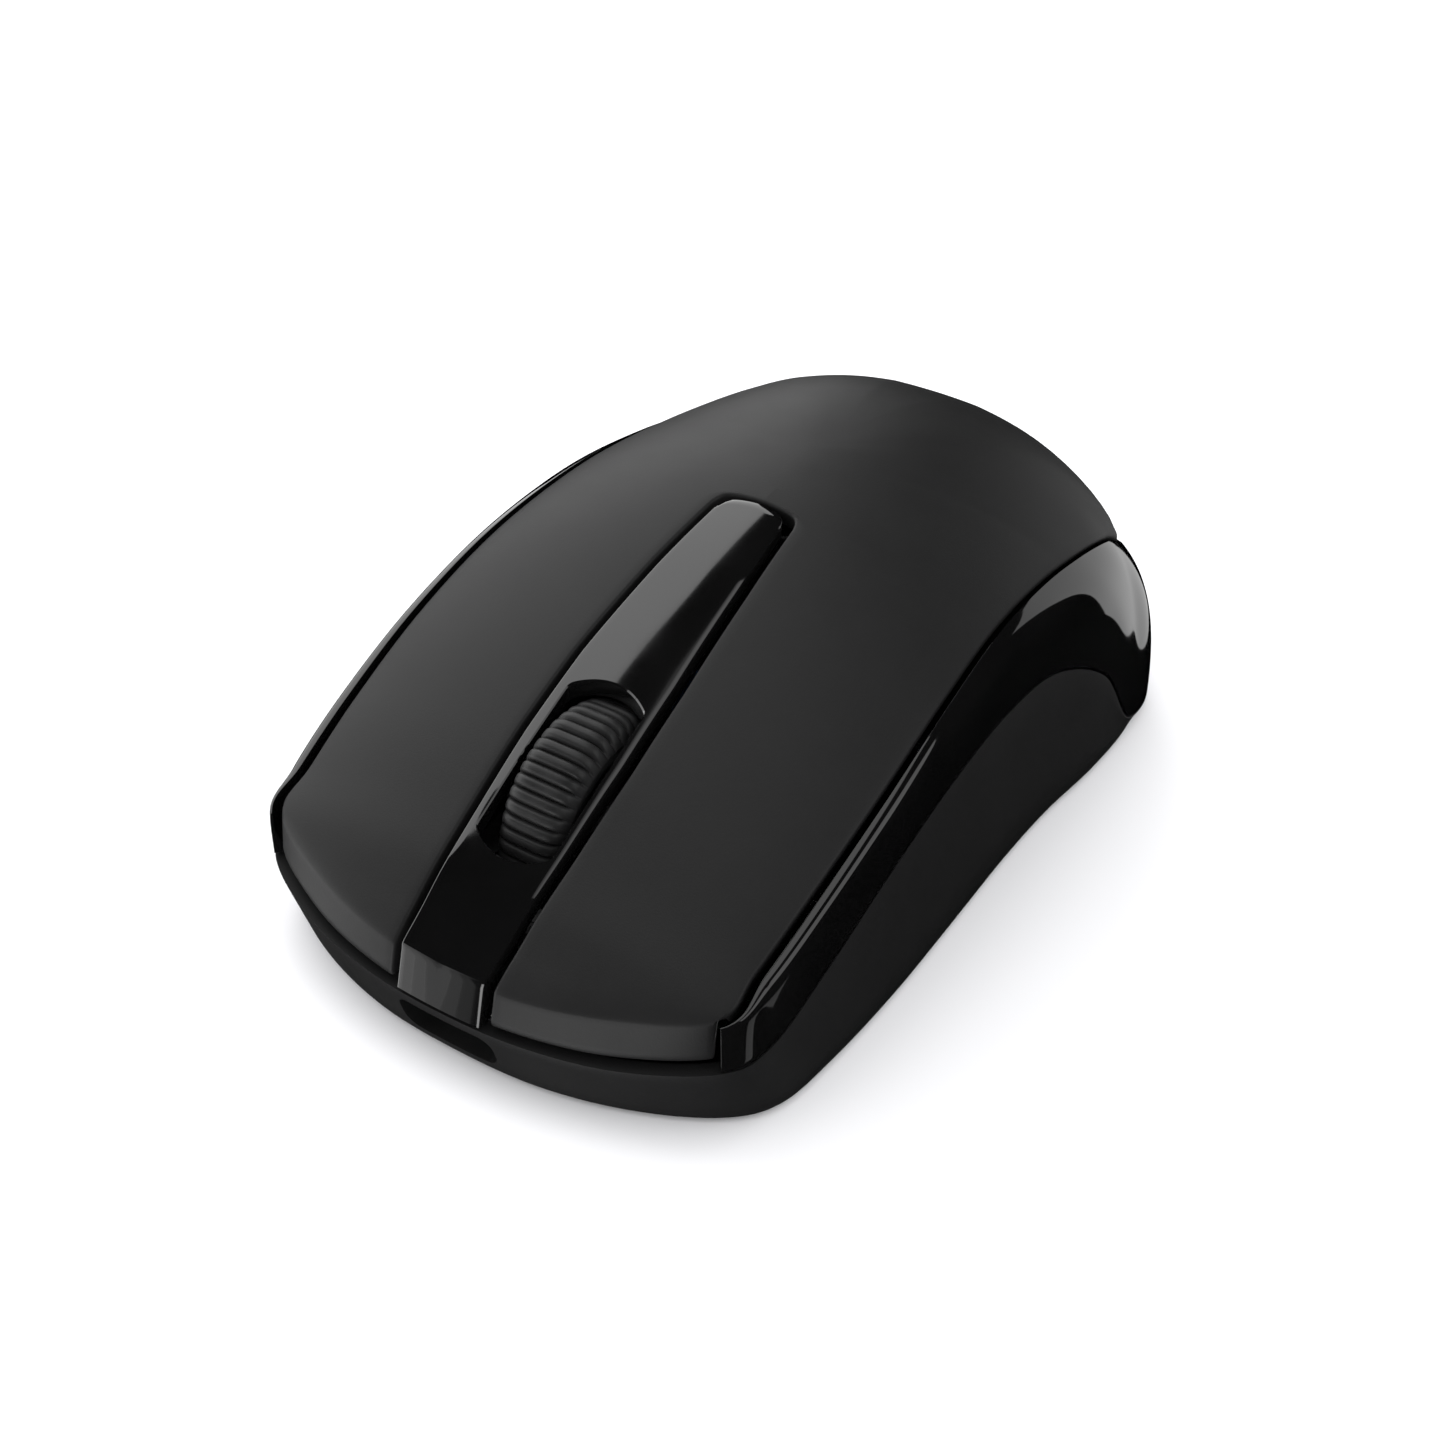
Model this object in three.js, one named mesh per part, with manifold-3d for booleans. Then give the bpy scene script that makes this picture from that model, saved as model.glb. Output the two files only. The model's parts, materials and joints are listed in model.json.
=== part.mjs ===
// A compact cordless computer mouse, built as an assembly of its separate pieces.
//
// Frame: millimetres, +Z up, nose towards -Y, and x = 0 is the plane of symmetry. The pieces are
// drawn with y measured back from the nose, and the last lines move the whole object so that the
// origin lies under the middle of its footprint, on the surface that its feet rest on.
import * as THREE from 'three';
import { mergeVertices } from 'three/addons/utils/BufferGeometryUtils.js';
import Module from 'manifold-3d';

const wasm = await Module();
wasm.setup();

// ---- Driving dimensions -------------------------------------------------------------------
const NOSE_TO_CENTRE = 50.77;   // from the nose datum to the middle of the footprint
const BASE_BOTTOM = 0.6;        // underside of the base, held up by the feet
const PLATE_TOP = 2.4;          // inner face of the base plate
const GAP = 0.3;                // clearance between neighbouring pieces
const SHELL = 1.7;              // wall of the base and of the belt
const COVER = 2.0;              // wall of the top cover and of the buttons

// The outer skin is a net of stations, from the middle of the nose (0) round the right side to the
// middle of the tail (14). Each list gives one level of the net at every station as [x, y, z].
const FLOOR = [[0, 0.55, 1.1], [9.6, 1.15, 1.1], [18.6, 3.6, 1.1], [26.2, 7.6, 1.1], [29.8, 12.2, 1.1],
  [30.8, 20, 1.1], [31.05, 31, 1.1], [30.65, 43, 1.1], [30.15, 55, 1.1], [30.15, 65, 1.1],
  [30.85, 75, 1.1], [30.6, 84, 1.1], [28.5, 92.1, 1.1], [17.2, 99.1, 1.1], [0, 100.8, 1.1]];
const LIP = [[0, -1.45, 7.9], [9.4, -0.8, 7.9], [18.8, 1.5, 8.2], [27.3, 5.9, 9.0], [29.1, 11.5, 8.7],
  [29.75, 20, 12.1], [30, 31, 16.5], [29.7, 43, 19.3], [29.35, 55, 20.4], [29.4, 66, 18.9],
  [30.2, 77, 12.4], [30.9, 83.5, 3.0], [28.8, 92.5, 1.9], [17.5, 99.6, 1.9], [0, 101.4, 1.9]];
const SEAM = [[0, -0.15, 12.3], [9, 0.45, 12.5], [18, 2.9, 13.1], [26.4, 6.8, 14.2], [27.1, 12, 16.4],
  [27.7, 20, 19.9], [28.05, 31, 24.1], [27.7, 43, 27.6], [26.9, 55, 29.3], [26.4, 66, 28.9],
  [26, 76, 27], [25, 85, 23.7], [22.8, 93, 18.6], [14, 99.3, 15.4], [0, 101.1, 14.4]];
// The ridge of the crown at each station, as [y, z].
const RIDGE = [[0.3, 12.7], [1, 13.2], [3.4, 14.7], [7, 17.2], [12, 19.9], [20, 24.1], [31, 29],
  [43, 33.1], [53, 35.6], [60, 36.5], [64, 36.8], [66, 36.8], [67, 36.7], [67.5, 36.7], [68, 36.7]];
// The belt's section at each station: how far its outer face rises above the lip, how far its top
// face reaches out from the seam, and the angle in degrees at which that face falls away.
const BELT = [[4, 1, 10], [4, 1, 10], [4, 1, 10], [5, 1.2, 4], [7, 2.3, 4], [7.4, 2.5, 6], [7, 2.4, 9],
  [7.2, 2.5, 14], [7.4, 3, 22], [8, 3.9, 32], [9.5, 4.8, 40], [10, 5.5, 46], [9, 6, 50], [8, 6, 52],
  [8, 6, 52]];
const CORNER = 3;               // station of the front corner, where the belt starts
const SPLIT = 7.6;              // station where the buttons join the palm cover
const TAIL = SEAM.length - 1;
const COVER_SHRINK = 1 - 1.6 / 29;  // width of the cover's inner face over that of its outer face

// Half width of the centre strip, as [y, half width], and of the black channel round it.
const STRIP_HALF = [[-2, 4.9], [5, 5.2], [12, 5.5], [21, 5.75], [30, 5.6], [36, 5.2], [42, 4.8], [52, 3.9]];
const CHANNEL = 0.95;
const STRIP_END = 52.4;
const STRIP = { proud: 0.2, thick: 1.8, foldY: -1.42, edgeY: -0.13, bow: 0.8 };
const SLOT = { front: 11.2, rear: 27.2, half: 4.53, bow: 1.6 };

const WHEEL = { y: 23.3, z: 15.1, rim: 11, crown: 11.4, half: 3.75, press: 0.5 };
const AXLE = { r: 1.2, left: -9.6, right: 14.2 };
const CRADLE = { half: 9.4, front: 9.2, rear: 37.3, low: 10.7, high: 12.7, rim: 3.4, ear: 2.6 };
const ENCODER = { left: 10.2, right: 14.8, half: 5.3, above: 4.6, rotorR: 3.3, rotor: [11.8, 13.2] };
const SPRING = { y: 10.1, r: 1.2, height: 2.3, turns: 4, wire: 0.2 };
const BOARD = { bottom: 5.7, top: 7.3 };
const SWITCH = { x: 18.5, y: 17.5, wide: 5.8, long: 12.8, tall: 6.5, plungerY: 14.5 };
const WHEEL_SWITCH = { x: -11.4, y: 30.2, size: 3.9, tall: 2 };
const CELL = { r: 7.1, z: 10.3, front: 46.2, length: 49.2 };
const DOOR = { half: 8, front: 47, rear: 96.2, thick: 1.6 };
const RECEIVER = { x: 19, y: 72, wide: 14.2, thick: 6, capLow: 0.8, capHigh: 6.2 };
const PORT = { half: 3.8, z: 4.05, front: 2.8, recessHalf: 5.7, low: 1.9, high: 6.3, deep: 2.6 };
const SENSOR_Y = 38.5;
const CASE_SCREW = { x: 19, y: 56, head: 1.4, headR: 2, headTall: 1.4, tip: 12 };
const BOARD_SCREW = { x: 20, y: 31, head: 7.6, headR: 1.9, headTall: 1.2, tip: 2.2 };
const SCREW_HOLE_R = 1.35;
const POWER = { x: -15.5, y: 38.5, knobHalf: 1.8, travel: 2.5 };
// The feet: name, middle in x and y, length, width, and the angle they are turned by.
const FEET = [
  ['front_foot', 0, 9.4, 30, 5, 0],
  ['rear_foot_left', -19.5, 90.5, 11, 4.5, -0.75],
  ['rear_foot_right', 19.5, 90.5, 11, 4.5, 0.75],
];

// ---- Skin formulas -----------------------------------------------------------------------
// A Catmull-Rom curve through a list. Beyond both ends it is mirrored, and an outline's x is
// negated there, so that the right and left halves meet smoothly.
function along(list, s) {
  const last = list.length - 1;
  const outline = list === FLOOR || list === LIP || list === SEAM;
  const i = Math.min(Math.max(Math.floor(s), 0), last - 1);
  const u = s - i;
  const value = (k, c) => {
    const inside = k >= 0 && k <= last;
    const m = k < 0 ? -k : (k > last ? 2 * last - k : k);
    return outline && !inside && c === 0 ? -list[m][c] : list[m][c];
  };
  return list[0].map((_, c) => {
    const [a, b, d, e] = [value(i - 1, c), value(i, c), value(i + 1, c), value(i + 2, c)];
    return 0.5 * (2 * b + (d - a) * u + (2 * a - 5 * b + 4 * d - e) * u * u
      + (3 * b - a - 3 * d + e) * u ** 3);
  });
}

// Value at y of a list of [y, value].
function byY(list, y) {
  const k = list.findIndex((p) => p[0] >= y);
  if (k < 0) return list[list.length - 1][1];
  if (k === 0) return list[0][1];
  const [a, b] = [list[k - 1], list[k]];
  return a[1] + (b[1] - a[1]) * (y - a[0]) / (b[0] - a[0]);
}

// Outward normal in plan of an outline at station s.
function planNormal(list, s) {
  const step = 0.02;
  const a = along(list, Math.max(s - step, 0));
  const b = along(list, Math.min(s + step, TAIL));
  const n = new THREE.Vector2(b[1] - a[1], a[0] - b[0]);
  if (s <= 0) n.set(0, -1);
  if (s >= TAIL) n.set(0, 1);
  return n.normalize();
}

// A point of an outline moved inwards by inset and set at height z, or at its own height.
function insetPoint(list, s, inset, z) {
  const p = along(list, s);
  const n = planNormal(list, s);
  return [p[0] - n.x * inset, p[1] - n.y * inset, z ?? p[2]];
}

// The crown: r is 0 on the ridge and 1 at the seam.
function crownAt(s, r) {
  const seam = along(SEAM, s);
  const ridge = along(RIDGE, s);
  const tail = Math.min(Math.max((s - 9.5) / 4, 0), 1);
  const fall = 1 - (1 - r ** (2.1 + 0.7 * tail)) ** (0.85 - 0.25 * tail);
  return [seam[0] * r, ridge[0] + (seam[1] - ridge[0]) * r, ridge[1] + (seam[2] - ridge[1]) * fall];
}

// The value between low and high at which tooLow stops being true.
function bisect(low, high, tooLow) {
  for (let i = 0; i < 36; i++) {
    const mid = (low + high) / 2;
    if (tooLow(mid)) low = mid;
    else high = mid;
  }
  return (low + high) / 2;
}

// Height of the crown above a point of the plan. The station is the one whose line from the ridge
// to the seam passes through the point.
function crownHeight(x, y) {
  const ax = Math.max(Math.abs(x), 0.05);
  const behind = (s) => {
    const [seam, start] = [along(SEAM, s), along(RIDGE, s)[0]];
    return seam[0] * (y - start) > (seam[1] - start) * ax;
  };
  const station = bisect(0, TAIL, behind);
  return crownAt(station, Math.min(ax / Math.max(along(SEAM, station)[0], ax), 1))[2];
}

// Vertical gap under the belt that leaves the same clearance where the lip is steep.
function lipGap(s) {
  const [a, b] = [along(LIP, Math.max(s - 0.1, 0)), along(LIP, Math.min(s + 0.1, TAIL))];
  const run = Math.hypot(b[0] - a[0], b[1] - a[1]);
  return GAP * Math.hypot(run, b[2] - a[2]) / run;
}

// Gap in plan between the cover's seam and the belt, wider at the front corner.
const beltGap = (s) => 0.9 - 0.5 * Math.min(Math.max((s - CORNER) / 7, 0), 1);

// The belt's outer face at station s, from the lip (u = 0) up to its inner top edge (u = 1).
function beltAt(s, u) {
  const lip = new THREE.Vector3(...along(LIP, s));
  const n = planNormal(SEAM, s);
  const [rise, reach, angle] = along(BELT, s);
  const fall = THREE.MathUtils.degToRad(angle);
  const top = new THREE.Vector3(...insetPoint(SEAM, s, -beltGap(s)));
  const low = lip.clone().add(new THREE.Vector3(0, 0, rise));
  const out = Math.max(reach - beltGap(s), 0.3);
  const high = top.clone().add(new THREE.Vector3(n.x * Math.cos(fall), n.y * Math.cos(fall),
    -Math.sin(fall)).multiplyScalar(out));
  return new THREE.CubicBezierCurve3(lip, low, high, top).getPoint(u).toArray();
}

// ---- Mesh helpers ------------------------------------------------------------------------
// A mesh of triangles with equal points welded and flat triangles dropped.
function fromTriangles(points, faces) {
  const geometry = new THREE.BufferGeometry();
  geometry.setAttribute('position', new THREE.Float32BufferAttribute(points.flat(), 3));
  geometry.setIndex(faces.flat());
  const merged = mergeVertices(geometry, 1e-4);
  const index = [...merged.index.array];
  const kept = [];
  for (let i = 0; i < index.length; i += 3) {
    const [a, b, c] = index.slice(i, i + 3);
    if (a !== b && b !== c && c !== a) kept.push(a, b, c);
  }
  merged.setIndex(kept);
  return merged;
}

// A ring of sections: each section is a closed loop of points, joined to the next one. The ends
// are closed by flat fans unless the ring itself is closed.
function loft(sections, closed) {
  const n = sections[0].length;
  const points = sections.flat();
  const faces = [];
  const spans = closed ? sections.length : sections.length - 1;
  for (let i = 0; i < spans; i++) {
    const [a, b] = [i * n, ((i + 1) % sections.length) * n];
    for (let j = 0; j < n; j++) {
      const k = (j + 1) % n;
      faces.push([a + j, b + j, b + k], [a + j, b + k, a + k]);
    }
  }
  if (!closed) {
    const end = (sections.length - 1) * n;
    const flat = sections.map((ring) => ring.map((p) => new THREE.Vector3(...p)));
    faces.push(...capFaces(flat[0], 0, false), ...capFaces(flat[flat.length - 1], end, true));
  }
  return outward(fromTriangles(points, faces));
}

// Triangles that close a flat loop of points.
function capFaces(ring, offset, flip) {
  const normal = new THREE.Vector3();
  ring.forEach((p, i) => normal.add(p.clone().cross(ring[(i + 1) % ring.length])));
  const u = ring[1].clone().sub(ring[0]).normalize();
  const v = normal.normalize().clone().cross(u);
  const flat = ring.map((p) => new THREE.Vector2(p.dot(u), p.dot(v)));
  const triangles = THREE.ShapeUtils.triangulateShape(flat, []);
  return triangles.map(([a, b, c]) => (flip ? [a, c, b] : [a, b, c]).map((i) => i + offset));
}

// Turns a closed mesh inside out if its volume is negative.
function outward(geometry) {
  const p = geometry.attributes.position;
  const index = [...geometry.index.array];
  const at = (i) => new THREE.Vector3().fromBufferAttribute(p, i);
  let volume = 0;
  for (let i = 0; i < index.length; i += 3) {
    volume += at(index[i]).dot(at(index[i + 1]).cross(at(index[i + 2])));
  }
  if (volume < 0) {
    for (let i = 0; i < index.length; i += 3) [index[i], index[i + 1]] = [index[i + 1], index[i]];
    geometry.setIndex(index);
  }
  return geometry;
}

// A sheet with thickness: outer and inner are grids of points of the same size, rows by columns.
// A row that folds onto itself, as at the tail, is left open there and closes by welding.
function thickSheet(outer, inner, foldedEnd) {
  const [rows, cols] = [outer.length, outer[0].length];
  const points = [...outer.flat(), ...inner.flat()];
  const shift = rows * cols;
  const faces = [];
  const at = (i, j, side) => side * shift + i * cols + j;
  for (let i = 0; i < rows - 1; i++) {
    for (let j = 0; j < cols - 1; j++) {
      const [a, b, c, d] = [at(i, j, 0), at(i, j + 1, 0), at(i + 1, j + 1, 0), at(i + 1, j, 0)];
      faces.push([a, b, c], [a, c, d]);
      faces.push([a + shift, c + shift, b + shift], [a + shift, d + shift, c + shift]);
    }
  }
  const wall = (a, b) => faces.push([a, a + shift, b + shift], [a, b + shift, b]);
  for (let j = 0; j < cols - 1; j++) {
    wall(at(0, j, 0), at(0, j + 1, 0));
    if (!foldedEnd) wall(at(rows - 1, j + 1, 0), at(rows - 1, j, 0));
  }
  for (let i = 0; i < rows - 1; i++) {
    wall(at(i + 1, 0, 0), at(i, 0, 0));
    wall(at(i, cols - 1, 0), at(i + 1, cols - 1, 0));
  }
  return outward(fromTriangles(points, faces));
}

// A copy of a geometry moved by x, y and z.
const placed = (geometry, x, y, z) => geometry.clone().translate(x, y, z);

// A box given by its low and high corners.
function block(low, high) {
  const size = high.map((h, i) => h - low[i]);
  return placed(new THREE.BoxGeometry(...size), ...low.map((l, i) => l + size[i] / 2));
}

// An upright cylinder on a point, from z = low to z = high.
function post(x, y, r, low, high, sides = 20) {
  const cylinder = new THREE.CylinderGeometry(r, r, high - low, sides).rotateX(Math.PI / 2);
  return placed(cylinder, x, y, (low + high) / 2);
}

// A cylinder lying along X, and one lying along Y.
function barX(low, high, y, z, r, sides = 24) {
  const cylinder = new THREE.CylinderGeometry(r, r, high - low, sides).rotateZ(Math.PI / 2);
  return placed(cylinder, (low + high) / 2, y, z);
}

function barY(x, low, high, z, r, sides = 28) {
  return placed(new THREE.CylinderGeometry(r, r, high - low, sides), x, (low + high) / 2, z);
}

// A body turned from a profile of [radius, x], lying along X and centred on the wheel's axle.
function turnedOnAxle(profile, sides) {
  const points = profile.map(([r, x]) => new THREE.Vector2(r, x));
  const geometry = new THREE.LatheGeometry(points, sides).rotateZ(-Math.PI / 2);
  return placed(geometry, 0, WHEEL.y, WHEEL.z);
}

// A plate of a plan outline, from z = low to z = high.
function plate(outline, low, high) {
  const shape = new THREE.Shape(outline.map((p) => new THREE.Vector2(...p)));
  const flat = new THREE.ExtrudeGeometry(shape, { depth: high - low, bevelEnabled: false });
  return placed(flat, 0, 0, low);
}

// The outline of a bar with round ends, centred on a point and turned by an angle.
function roundBar(x, y, length, width, turn = 0, steps = 8) {
  const outline = [];
  const half = length / 2 - width / 2;
  for (const side of [1, -1]) {
    for (let k = 0; k <= steps; k++) {
      const a = Math.PI * (k / steps - 0.5) + (side > 0 ? 0 : Math.PI);
      const p = new THREE.Vector2(side * half + Math.cos(a) * width / 2, Math.sin(a) * width / 2);
      outline.push(p.rotateAround(new THREE.Vector2(), turn).add(new THREE.Vector2(x, y)).toArray());
    }
  }
  return outline;
}

// The closed body of a geometry, for joining and cutting.
function toSolid(geometry) {
  const bare = geometry.clone();
  bare.deleteAttribute('normal');
  bare.deleteAttribute('uv');
  const merged = mergeVertices(bare, 1e-4);
  return new wasm.Manifold(new wasm.Mesh({
    numProp: 3,
    vertProperties: new Float32Array(merged.attributes.position.array),
    triVerts: new Uint32Array(merged.index.array),
  }));
}

// Joins a geometry with some and cuts others from it.
function carve(geometry, { join = [], cut = [] }) {
  let solid = toSolid(geometry);
  for (const g of join) solid = solid.add(toSolid(g));
  for (const g of cut) solid = solid.subtract(toSolid(g));
  const mesh = solid.getMesh();
  const result = new THREE.BufferGeometry();
  result.setAttribute('position', new THREE.Float32BufferAttribute(mesh.vertProperties, 3));
  result.setIndex([...mesh.triVerts]);
  return result;
}

// A copy mirrored across x = 0, with its triangles turned the right way out again.
const mirrored = (geometry) => {
  const copy = geometry.clone().scale(-1, 1, 1);
  const index = [...(copy.index ? copy.index.array : copy.attributes.position.array.keys())];
  for (let i = 0; i < index.length; i += 3) [index[i], index[i + 1]] = [index[i + 1], index[i]];
  copy.setIndex(index);
  return copy;
};

// ---- Materials ---------------------------------------------------------------------------
const finish = (color, roughness, metalness = 0) =>
  new THREE.MeshStandardMaterial({ color, roughness, metalness });
const MATTE = finish(0x1b1b1c, 0.62);
const GLOSS = finish(0x060606, 0.08);
const INNER = finish(0x161617, 0.55);
const RUBBER = finish(0x121212, 0.85);
const STEEL = finish(0xb9bcc0, 0.3, 1);
const BRASS = finish(0xc9a75a, 0.3, 1);
const BOARD_GREEN = finish(0x14532d, 0.5);
const CHIP = finish(0x0b0b0c, 0.5);
const CLEAR = finish(0xdfe6ea, 0.05);
const GLIDE = finish(0x26272a, 0.4);
const RED = finish(0xb3261e, 0.3);
const WHITE = finish(0xe6e3da, 0.5);
const LABEL = finish(0x2f5d8a, 0.4);

const object = new THREE.Group();
function add(name, geometry, material) {
  const mesh = new THREE.Mesh(geometry, material);
  mesh.name = name;
  object.add(mesh);
}

// Evenly spaced values from one to another, in so many steps.
function stations(from, to, count) {
  return Array.from({ length: count + 1 }, (_, i) => from + (to - from) * i / count);
}

// The section at each station of the right side, and the same sections mirrored to the left.
function bothSides(list, section) {
  const right = list.map(section);
  const left = right.map((ring) => ring.map(([x, y, z]) => [-x, y, z]));
  return { right, left };
}

// ---- Casing ------------------------------------------------------------------------------
// The wall of the base, a closed ring whose top edge follows the lip a gap below the belt.
function baseWall() {
  const section = (s) => {
    const lip = along(LIP, s);
    const top = lip[2] - lipGap(s);
    const low = Math.min(top, 1.5);
    return [
      insetPoint(FLOOR, s, 3, BASE_BOTTOM),
      insetPoint(FLOOR, s, 0.8, BASE_BOTTOM),
      along(FLOOR, s),
      [lip[0], lip[1], top],
      insetPoint(LIP, s, SHELL, top),
      insetPoint(FLOOR, s, 2.1, low),
      insetPoint(FLOOR, s, 3, low),
    ];
  };
  const { right, left } = bothSides(stations(0, TAIL, 42), section);
  return loft([...right, ...left.reverse().slice(1, -1)], true);
}

// The flat bottom, which laps the foot of the wall.
function basePlate() {
  const ring = stations(0, TAIL, 28).map((s) => insetPoint(FLOOR, s, 2.6).slice(0, 2));
  const other = ring.map(([x, y]) => [-x, y]).reverse().slice(1, -1);
  return plate([...ring, ...other], BASE_BOTTOM, PLATE_TOP);
}

// The pocket that holds the radio receiver, or the wall round it.
function receiverWell(wall, low, high) {
  const around = 2 * (GAP + wall);
  const [length, width] = [RECEIVER.wide + around, RECEIVER.thick + around];
  return plate(roundBar(RECEIVER.x, RECEIVER.y, length, width, Math.PI / 2), low, high);
}

// Shallow pockets in the underside, a gap wider all round than the feet that sit in them.
function footPockets() {
  return FEET.map(([, x, y, length, width, turn]) =>
    plate(roundBar(x, y, length + 2 * GAP, width + 2 * GAP, turn), 0, BASE_BOTTOM + 0.4));
}

// The base: wall, bottom, screw bosses, cell supports and receiver pocket in one moulding.
function baseShell() {
  const bosses = [-1, 1].flatMap((side) => [
    post(side * CASE_SCREW.x, CASE_SCREW.y, 3.6, BASE_BOTTOM + 0.2, 5),
    post(side * BOARD_SCREW.x, BOARD_SCREW.y, 2.6, BASE_BOTTOM + 0.2, BOARD.bottom - GAP),
  ]);
  const cradle = [44.2, 97.5].map((y) => block([-8.6, y, PLATE_TOP - 0.4], [8.6, y + 0.8, 12]));
  const holes = [-1, 1].flatMap((side) => [
    post(side * CASE_SCREW.x, CASE_SCREW.y, 2.4, 0, 3.2),
    post(side * CASE_SCREW.x, CASE_SCREW.y, SCREW_HOLE_R, 0, 6),
    post(side * BOARD_SCREW.x, BOARD_SCREW.y, SCREW_HOLE_R, 1.5, 7),
  ]);
  const door = block([-DOOR.half - GAP, DOOR.front - 0.5, 0], [DOOR.half + GAP, DOOR.rear + GAP, 3]);
  const port = block([-PORT.recessHalf, -4, PORT.low], [PORT.recessHalf, PORT.deep, PORT.high]);
  const lensHole = block([-5, SENSOR_Y - 4, 0], [5, SENSOR_Y + 4, 3]);
  const knobClear = POWER.knobHalf + 0.4;
  const knobSlot = block([POWER.x - knobClear, POWER.y - 1.9, 0],
    [POWER.x + POWER.travel + knobClear, POWER.y + 1.9, 3]);
  return carve(baseWall(), {
    join: [basePlate(), receiverWell(1.2, BASE_BOTTOM + 0.2, 20.6), ...bosses, ...cradle],
    cut: [receiverWell(0, 0, 19.4), ...holes, door, port, lensHole, knobSlot, ...footPockets()],
  });
}

// The glossy belt: a closed section carried from the right front corner round the tail.
function glossBelt() {
  const section = (s) => {
    const outer = stations(0, 1, 7).map((u) => beltAt(s, u));
    const top = outer[outer.length - 1];
    const lip = insetPoint(LIP, s, Math.min(1 + (s - CORNER) / 2, SHELL));
    return [...outer, [top[0], top[1], top[2] - COVER - GAP], lip];
  };
  const { right, left } = bothSides(stations(CORNER, TAIL, 33), section);
  return loft([...right, ...left.reverse().slice(1)], false);
}

// A point under the crown, inside the cover's wall. The shrink keeps the wall at the seam.
function underCrown(s, r) {
  const p = crownAt(s, r * COVER_SHRINK);
  return [p[0], p[1], p[2] - COVER];
}

// The palm cover, with two screw posts and a notch for the rear of the strip's channel.
function palmCover() {
  const across = stations(-1, 1, 18).map((t) => Math.sign(t) * Math.abs(t) ** 0.8);
  const signed = (point, s, r) => {
    const p = point(s, Math.abs(r));
    return [Math.sign(r) * p[0], p[1], p[2]];
  };
  const rows = stations(SPLIT, TAIL, 16);
  const outer = rows.map((s) => across.map((r) => signed(crownAt, s, r)));
  const inner = rows.map((s) => across.map((r) => signed(underCrown, s, r)));
  const postTop = crownHeight(CASE_SCREW.x, CASE_SCREW.y) - COVER + 0.8;
  const posts = [-1, 1].map((side) => post(side * CASE_SCREW.x, CASE_SCREW.y, 3, 5 + GAP, postTop));
  const bores = [-1, 1].map((side) =>
    post(side * CASE_SCREW.x, CASE_SCREW.y, SCREW_HOLE_R, 0, CASE_SCREW.tip + 2));
  const notch = plate(channelOutline(), 20, 45);
  return carve(thickSheet(outer, inner, true), { join: posts, cut: [...bores, notch] });
}

// Outline in plan of the strip, or of the channel round it, with a bowed rear end.
function stripOutline(margin, front, end) {
  const sides = stations(front, end, 10).map((y) => [byY(STRIP_HALF, y) + margin, y]);
  const half = byY(STRIP_HALF, end) + margin;
  const depth = STRIP.bow + margin * 0.3;
  const bow = [0.6, 0, -0.6].map((t) => [t * half, end + depth * (1 - t * t)]);
  return [...sides, ...bow, ...sides.map(([x, y]) => [-x, y]).reverse()];
}

// The channel round the strip, which the palm cover's notch follows.
const channelOutline = () => stripOutline(CHANNEL, -4, STRIP_END + CHANNEL / 2);

// One button: the front wall and then the top, as rows from the lower edge to the split.
function rightButton() {
  const innerStation = bisect(0, 1, (s) => along(SEAM, s)[0] < byY(STRIP_HALF, 0) + CHANNEL);
  const rearStation = SPLIT - 0.03;
  const columns = stations(0, 1, 8);
  const rowCount = 13;
  const channelX = (y) => byY(STRIP_HALF, y) + CHANNEL;
  const rearReach = channelX(48) / along(SEAM, rearStation)[0];
  const front = (u) => along(SEAM, innerStation + (CORNER - innerStation) * u);
  const rear = (u) => crownAt(rearStation, rearReach + (1 - rearReach) * u);
  const innerY = (v) => front(0)[1] + (rear(0)[1] - front(0)[1]) * v;
  const inner = (v) => [channelX(innerY(v)), innerY(v)];
  const outer = (v) => along(SEAM, CORNER + (rearStation - CORNER) * v);
  const plan = (u, v) => [0, 1].map((c) => (1 - v) * front(u)[c] + v * rear(u)[c]
    + (1 - u) * inner(v)[c] + u * outer(v)[c]
    - (1 - u) * (1 - v) * front(0)[c] - u * (1 - v) * front(1)[c]
    - (1 - u) * v * inner(1)[c] - u * v * outer(1)[c]);
  const lowEdge = (u) => {
    const lip = along(LIP, innerStation + (CORNER - innerStation) * u);
    return [front(u)[0], lip[1] + 0.25 + 0.2 * u, lip[2] + 0.7];
  };
  const outerRows = [columns.map(lowEdge)];
  const innerRows = [columns.map((u) => [lowEdge(u)[0] - 0.4 * u, lowEdge(u)[1] + 1.5, lowEdge(u)[2]])];
  for (const v of stations(0, 1, rowCount)) {
    const top = columns.map((u) => [...plan(u, v), crownHeight(...plan(u, v))]);
    outerRows.push(top);
    innerRows.push(top.map(([x, y], j) => {
      const back = 1.6 * (1 - v) ** 6;
      const side = 0.5 * columns[j] ** 4;
      return [x - side, y + back, crownHeight(x - side, y + back) - COVER];
    }));
  }
  const boss = post(SWITCH.x, SWITCH.plungerY, 1.5, 15, crownHeight(SWITCH.x, SWITCH.plungerY) - 1);
  return carve(thickSheet(outerRows, innerRows, false), { join: [boss] });
}

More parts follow.
